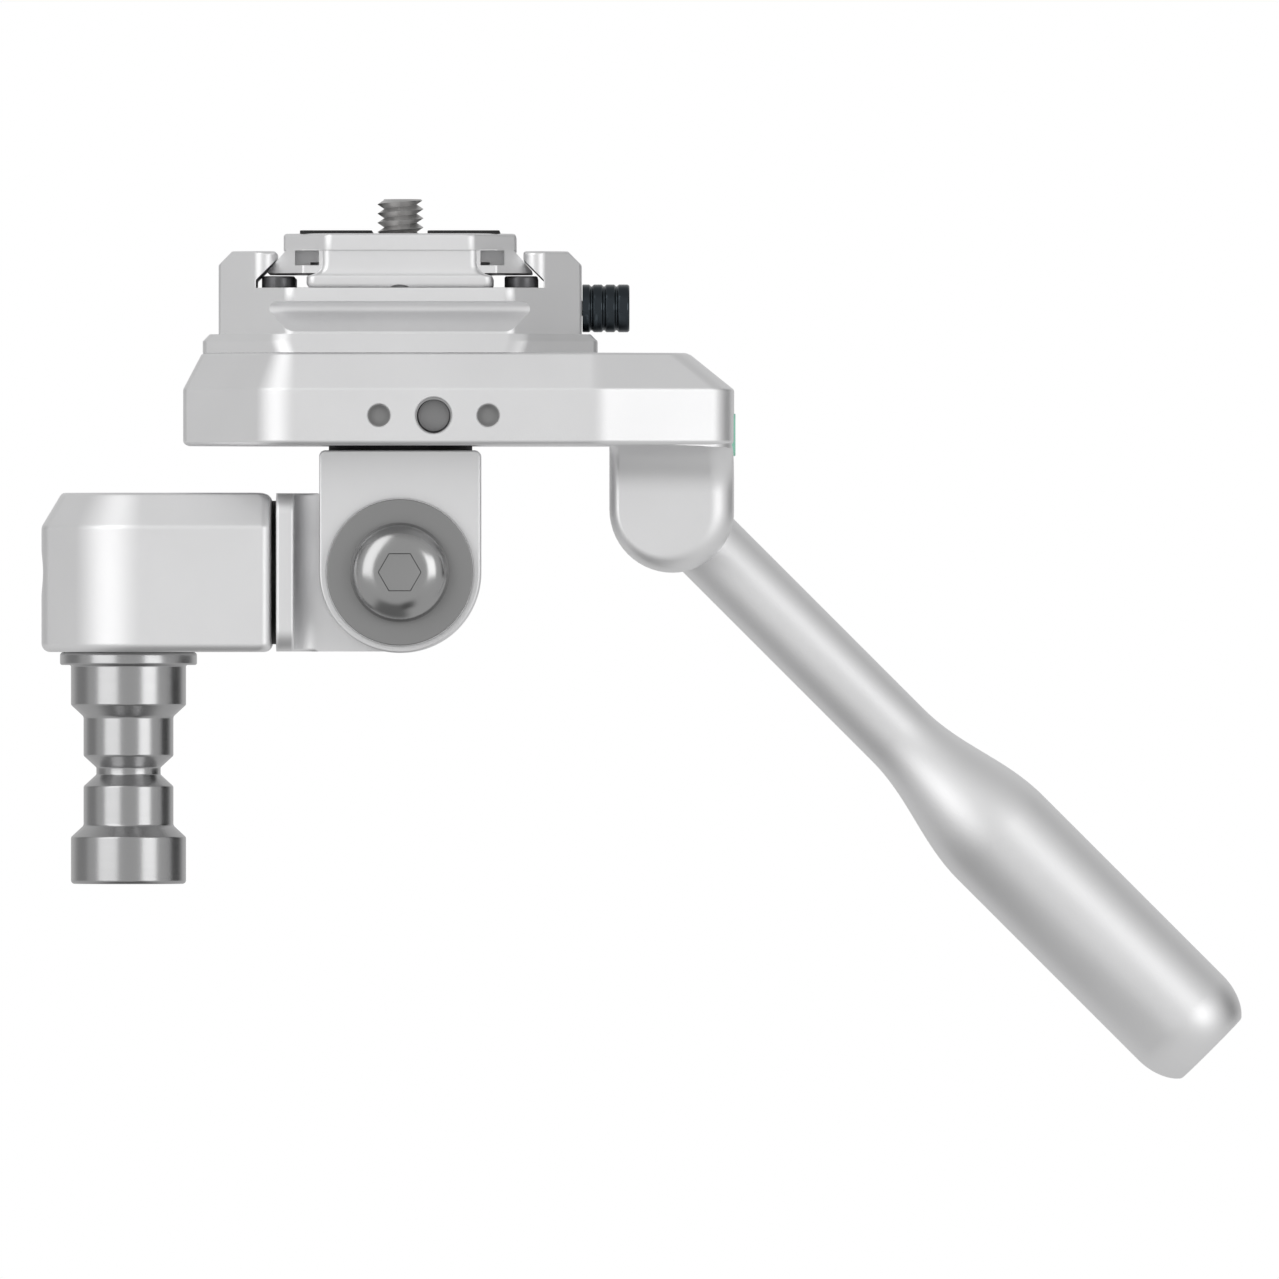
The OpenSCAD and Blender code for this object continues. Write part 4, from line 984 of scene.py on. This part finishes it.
class HEAD_OT_handle(bpy.types.Operator):
    """Handle: slim stem, smooth flare, long grip and drawn-in end"""
    bl_idname = "head.handle"
    bl_label = "Handle"

    def execute(self, context):
        stem, grip, flare_z, flare_len, grip_len = 5.07, 8.25, 44.0, 20.0, 35.2
        end_len, end_in, end_turn, tip_r = 6.0, 2.4, 60 * DEG, 0.75
        end_z = flare_z + flare_len + grip_len
        line = [(0, 5), (stem, 5), (stem, 20), (stem, 36)]
        line += [(stem + (grip - stem) * (1 - math.cos(math.pi * i / 32)) / 2, flare_z + flare_len * i / 32)
                 for i in range(33)]
        end = [(grip - end_in * (1 - math.cos(a)) * 2, end_z + end_len * math.sin(a) / math.sin(end_turn))
               for a in arc(0, end_turn, 12)]
        tip = round_line([end[-3], end[-1], (0, end_z + end_len)], [0, tip_r, 0], 6)
        place = Matrix.Translation(LUG) @ Matrix.Rotation(135 * DEG, 4, "Y")
        piece = lathe("handle_blasted", line + end[:-2] + tip[1:], place, steps=128)
        hand_over_satin(smooth(piece), "pan_part", "handle")
        return {"FINISHED"}


class HEAD_OT_platform(bpy.types.Operator):
    """Platform whose front and back carry the body's slope on"""
    bl_idname = "head.platform"
    bl_label = "Platform"

    def execute(self, context):
        shape = context.scene.head_shape
        z0, h, edge, half_w, half_d, corner = float(low("platform")[2]), 2.62, 0.97, 27.2, 20.4, 11.2
        side_slope, corner_slope = 0.52, 0.35
        line = round_line([(2, 0), (0, 0), (0, h - edge), (edge, h), (edge + 1, h)],
                          [0, 0.1, 0.25, 0.25, 0], 4)
        rings = []
        for inset, z in line:
            slope = max(z * side_slope, inset if z < h / 2 else 0)
            ring = eight_sides(half_w - inset, half_d - slope,
                               corner - 0.586 * inset - corner_slope * z, 4.3, shape.arc_steps)
            rings.append(over_pan(ring, z0, z))
        hand_over_satin(smooth(loft("platform_blasted", rings)), "pan_part", "platform")
        return {"FINISHED"}


class HEAD_OT_clamp(bpy.types.Operator):
    """Dovetail clamp with its finger scoops"""
    bl_idname = "head.clamp"
    bl_label = "Clamp"

    def execute(self, context):
        parts = [smooth(part) for part in make_clamp(context.scene.head_shape.arc_steps)]
        hand_over_satin(joined("clamp_blasted", *parts), "pan_part", "clamp")
        return {"FINISHED"}


class HEAD_OT_clamp_screws(bpy.types.Operator):
    """Four screws that hold the clamp down, set out by Geometry Nodes"""
    bl_idname = "head.clamp_screws"
    bl_label = "Clamp screws"

    def execute(self, context):
        r, head_r, head_h, key_depth, end = 1.5, 2.3, 1.6, 0.8, -17.4
        line = round_line([(0, end), (r, end), (r, 0), (head_r, 0), (head_r, head_h), (0, head_h)],
                          [0, 0.3, 0.05, 0.1, 0.3, 0], 4)
        screw = lathe("screw_shape", line, steps=48)
        cut(screw, hexagon(2.3, key_depth, Matrix.Translation((0, 0, head_h - key_depth))))
        smooth(screw, 30)
        spots = bpy.data.meshes.new("screw_spots")
        spots.from_pydata([((PAN_X + sx * SCREW_X) * MM, sy * SCREW_Y * MM, FLOOR_Z * MM)
                           for sx in (-1, 1) for sy in (-1, 1)], [], [])
        piece = screw_row_tree(screw, FINISHES["blackened"]).grown(placed("clamp_screws_dark", spots))
        remove(screw)
        hand_over(piece, FINISHES["blackened"], "pan_part", "dark_steel", "clamp_screws")
        return {"FINISHED"}


class HEAD_OT_knob(bpy.types.Operator):
    """Glossy pull knob with rounded ridges"""
    bl_idname = "head.knob"
    bl_label = "Pull knob"

    def execute(self, context):
        shape = context.scene.head_shape
        r, knob_len, groove, half = 3.3, 6.5, 0.26, 0.38
        pitch = (knob_len - 0.1) / shape.ridges + 0.12
        line = [(0, 0), (r - 0.1, 0), (r, 0.06)]
        for i in range(1, shape.ridges):
            line += [(r - groove * (1 + math.cos(math.pi * k / 6)) / 2, i * pitch - 0.46 + half * k / 6)
                     for k in range(-6, 7)]
        line += round_line([(r, knob_len - 1), (r, knob_len), (0, knob_len)], [0, 0.35, 0], 5)[1:]
        place = at(float(low("release_knob")[0]), 0, KNOB_Z, 90, "Y")
        hand_over(smooth(lathe("knob_glossy", line, place)), FINISHES["knob"], "pull_part", "dark_knob",
                  "release_knob")
        return {"FINISHED"}


class HEAD_OT_plate(bpy.types.Operator):
    """Quick release plate and its two rubber pads"""
    bl_idname = "head.plate"
    bl_label = "Plate and pads"

    def execute(self, context):
        piece = joined("plate_blasted", *make_plate(context.scene.head_shape.arc_steps))
        hand_over_satin(smooth(piece), "plate_part", "plate")
        pad_x, half_w, half_d, corner_r, h = 8.775, 4.975, 15.5, 1.1, 0.45
        edge = round_line([(1, 0), (0, 0), (0, h), (1, h)], [0, 0.05, 0.12, 0], 3)
        pads = []
        for side in (-1, 1):
            rings = []
            for inset, z in edge:
                ring = soft_rectangle(half_w - inset, half_d - inset, corner_r - inset, 6)
                rings.append(over_pan([(side * pad_x + x, y) for x, y in ring], PAD_Z, z))
            pads.append(loft("pad", rings))
        hand_over(smooth(joined("pads_rubber", *pads)), FINISHES["rubber"], "plate_part", "black_rubber",
                  "plate_pads")
        return {"FINISHED"}


class HEAD_OT_camera_screw(bpy.types.Operator):
    """Camera screw, its V thread grown by Geometry Nodes"""
    bl_idname = "head.camera_screw"
    bl_label = "Camera screw"

    def execute(self, context):
        shape = context.scene.head_shape
        head_z, start, top = FLOOR_Z + HEAD_LIFT, FLOOR_Z + 7.2, float(high("camera_screw")[2])
        head_r, head_h, neck, crest_r, sharp = 7, 2.4, 2.9, 3.175, 28
        line = round_line([(0, head_z), (head_r, head_z), (head_r, head_z + head_h), (neck, head_z + head_h),
                           (neck, start + 0.3), (0, start + 0.3)], [0, 0.3, 0.2, 0.2, 0, 0], 4)
        base = lathe("screw_base", line, at(PAN_X, 0, 0))
        cut(base, prism("slot", rectangle(8, 0.8), head_z, (-1, 1.2)))
        turns = (top - start) * MM / shape.pitch
        thread = make_thread("thread", FINISHES["thread"], shape.pitch,
                             math.ceil(THREAD_ROWS * (turns + 1)) + 1, radius=crest_r * MM,
                             depth=shape.thread_depth, length=(top - start) * MM, lead_in=0.35 * MM)
        thread.data.transform(Matrix.Translation((PAN_X * MM, 0, start * MM)))
        piece = joined("camera_screw_steel", smooth(base), smooth(thread, sharp))
        piece.data.shade_smooth()
        piece.data.set_sharp_from_angle(angle=sharp * DEG)
        hand_over(piece, FINISHES["thread"], "screw_part", "polished_steel", "camera_screw")
        return {"FINISHED"}


class HEAD_OT_inner_pieces(bpy.types.Operator):
    """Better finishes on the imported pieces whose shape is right"""
    bl_idname = "head.inner_pieces"
    bl_label = "Inner pieces"

    def execute(self, context):
        for finish, nodes in (
                ("friction", ("roll_disc", "tilt_discs", "pan_disc")),
                ("blackened", ("roll_washers", "roll_screw", "pan_screw", "pan_washers", "handle_stud",
                               "handle_set_screw")),
                ("steel", ("release_bush", "release_spring", "release_rod", "lock_pin"))):
            for node in nodes:
                for place in frame["nodes"][node].material_slots:
                    place.material = FINISHES[finish]
        return {"FINISHED"}


# Studio

# The photo's width in pixels, the length of one, and the pixels at which the spigot's axis and seat lie
PHOTO_W = 1279
PIXEL = 0.138 * MM
AXIS_PX, SEAT_PX = 128.5, 665
LENS, SENSOR = 1000, 36
# Middle and radius of the circle on which the lamps stand
LAMP_X, LAMP_DISTANCE = 0.05, 1.6

# The floor glows for the metals' reflections only; these dark zones in that glow are painted reflections,
# darker in front of the spigot and of the lug.
# Dark zones of the floor that the metals mirror: where they start, are full, start to end and are gone
# along Y, their middle in X, how far from it they are full and gone, and how dark they are
DARK_ZONES = (((-0.2, -0.12, 0.0, 0.08), 0.0, (0.045, 0.08), 0.4),
              ((-0.25, -0.16, -0.12, -0.06), 0.075, (0.01, 0.035), 0.52))


def panel_light(name, azimuth, height, size, strength):
    """Soft upright light on a circle round the head, turned to its axis."""
    lamp = bpy.data.lights.new(name, "AREA")
    lamp.shape, lamp.size, lamp.size_y = "RECTANGLE", size[0], size[1]
    lamp.energy = strength * math.pi * size[0] * size[1]
    place = placed(name, lamp)
    a = azimuth * DEG
    place.location = (LAMP_X + LAMP_DISTANCE * math.sin(a), -LAMP_DISTANCE * math.cos(a), height)
    aim = Vector((LAMP_X, 0, height)) - place.location
    place.rotation_mode = "QUATERNION"
    place.rotation_quaternion = aim.to_track_quat("-Z", "Y")


def make_room(scene):
    """White background for the camera, and a soft room for what the metals mirror."""
    world = bpy.data.worlds.new("studio")
    scene.world = world
    world.use_nodes = True
    g = Graph(world.node_tree, empty=True)
    path = g.add("ShaderNodeLightPath").outputs
    seen = g.math("MAXIMUM", path["Is Glossy Ray"], path["Is Transmission Ray"])
    way = g.add("ShaderNodeSeparateXYZ", {0: g.add("ShaderNodeTexCoord").outputs["Generated"]}).outputs
    walls = g.step(way["Y"], 0.15, 0.7, 0.612, 0.66)
    sides = g.math("ADD", g.step(way["X"], 0.6, 0.9, 0.0, 0.6), g.step(way["X"], -0.9, -0.6, 0.3, 0.0))
    sides = g.math("MULTIPLY", sides, g.step(way["Y"], -0.1, 0.12, 0.0, 1.0))
    above = g.step(way["Z"], 0.65, 0.95, 0.0, 0.15)
    room = g.math("MULTIPLY", g.math("SUBTRACT", g.math("SUBTRACT", walls, sides), above), seen)
    plain = g.math("MULTIPLY", g.math("SUBTRACT", 1.0, seen), 0.55)
    level = g.math("MAXIMUM", g.math("ADD", room, plain), path["Is Camera Ray"])
    shade = g.add("ShaderNodeBackground", {"Color": (1, 1, 1, 1), "Strength": level})
    g.add("ShaderNodeOutputWorld", {"Surface": shade.outputs[0]})


def make_floor():
    """Round pale floor under the head; seen from below it is clear. It glows only for the metals'
    reflections, with painted dark zones in that glow.
    """
    n, middle_x, radius, z = 64, 40, 1500, -120
    points = [(middle_x + radius * math.cos(2 * math.pi * i / n), radius * math.sin(2 * math.pi * i / n), z)
              for i in range(n)]
    mesh = bpy.data.meshes.new("floor")
    mesh.from_pydata([tuple(c * MM for c in p) for p in points], [], [tuple(range(n))])
    material = bpy.data.materials.new("pale_floor")
    material.use_nodes = True
    mesh.materials.append(material)
    g = Graph(material.node_tree, empty=True)
    path = g.add("ShaderNodeLightPath").outputs
    place = g.add("ShaderNodeSeparateXYZ", {0: g.add("ShaderNodeTexCoord").outputs["Object"]}).outputs
    # Glow that only glossy rays see: painted reflections, with the dark zones taken off it.
    level = 0.62
    for (start, full, fade, end), centre, (near, far), depth in DARK_ZONES:
        along = g.math("MULTIPLY", g.step(place["Y"], start, full, 0.0, 1.0),
                       g.step(place["Y"], fade, end, 1.0, 0.0))
        off = g.math("ABSOLUTE", g.math("SUBTRACT", place["X"], centre))
        level = g.math("SUBTRACT", level, g.math("MULTIPLY", along, g.step(off, near, far, depth, 0.0)))
    level = g.math("MAXIMUM", level, 0.1)
    glow = g.add("ShaderNodeEmission", {"Strength": g.math("MAXIMUM", path["Is Camera Ray"], level)})
    matt = g.add("ShaderNodeBsdfDiffuse", {"Color": (0.8, 0.8, 0.8, 1)})
    share = g.math("MULTIPLY_ADD", path["Is Camera Ray"], 0.5, path["Is Glossy Ray"])
    lift = g.add("ShaderNodeMixShader", {0: share, 1: matt.outputs[0], 2: glow.outputs[0]})
    back = g.add("ShaderNodeNewGeometry").outputs["Backfacing"]
    clear = g.add("ShaderNodeBsdfTransparent")
    one_way = g.add("ShaderNodeMixShader", {0: back, 1: lift.outputs[0], 2: clear.outputs[0]})
    g.add("ShaderNodeOutputMaterial", {"Surface": one_way.outputs[0]})
    placed("floor", mesh)


class HEAD_OT_studio(bpy.types.Operator):
    """Pale floor, soft studio light and the long-lens camera"""
    bl_idname = "head.studio"
    bl_label = "Studio"

    def execute(self, context):
        scene = context.scene
        scene.view_settings.view_transform = "Standard"
        make_room(scene)
        make_floor()
        panel_light("left_panel", -43, 1.48, (1.2, 3.2), 1.3)
        panel_light("right_panel", 42, 0.16, (0.9, 1.0), 1.7)
        camera = bpy.data.cameras.new("camera")
        camera.lens, camera.sensor_width = LENS, SENSOR
        camera.clip_start, camera.clip_end = 0.1, 100
        holder = placed("camera", camera)
        holder.location = ((PHOTO_W / 2 - AXIS_PX) * PIXEL, -PHOTO_W * PIXEL * LENS / SENSOR,
                           (SEAT_PX - PHOTO_W / 2) * PIXEL)
        holder.rotation_euler = (math.pi / 2, 0, 0)
        scene.camera = holder
        return {"FINISHED"}


class HEAD_PT_panel(bpy.types.Panel):
    """Lists the pieces of the head"""
    bl_label = "Tilt head"
    bl_idname = "HEAD_PT_panel"
    bl_space_type = "VIEW_3D"
    bl_region_type = "UI"
    bl_category = "Tilt head"

    def draw(self, context):
        for group in (context.scene.head_shape, context.scene.head_finish):
            box = self.layout.box()
            for name in group.__annotations__:
                box.prop(group, name)
        for kind in OPERATORS:
            self.layout.operator(kind.bl_idname)


OPERATORS = (
    HEAD_OT_studio, HEAD_OT_spigot, HEAD_OT_base_block, HEAD_OT_knuckle, HEAD_OT_fork, HEAD_OT_tilt_screw,
    HEAD_OT_main_body, HEAD_OT_inlay, HEAD_OT_handle, HEAD_OT_platform, HEAD_OT_clamp,
    HEAD_OT_clamp_screws, HEAD_OT_knob, HEAD_OT_plate, HEAD_OT_camera_screw, HEAD_OT_inner_pieces)
CLASSES = (HeadShape, HeadFinish, *OPERATORS, HEAD_PT_panel)


def register():
    for kind in CLASSES:
        bpy.utils.register_class(kind)
    bpy.types.Scene.head_shape = PointerProperty(type=HeadShape)
    bpy.types.Scene.head_finish = PointerProperty(type=HeadFinish)


def unregister():
    del bpy.types.Scene.head_finish
    del bpy.types.Scene.head_shape
    for kind in reversed(CLASSES):
        bpy.utils.unregister_class(kind)


def main():
    register()
    make_finishes()
    for kind in OPERATORS:
        group, name = kind.bl_idname.split(".")
        if getattr(getattr(bpy.ops, group), name)() != {"FINISHED"}:
            raise RuntimeError(kind.bl_label)


if __name__ == "__main__":
    main()
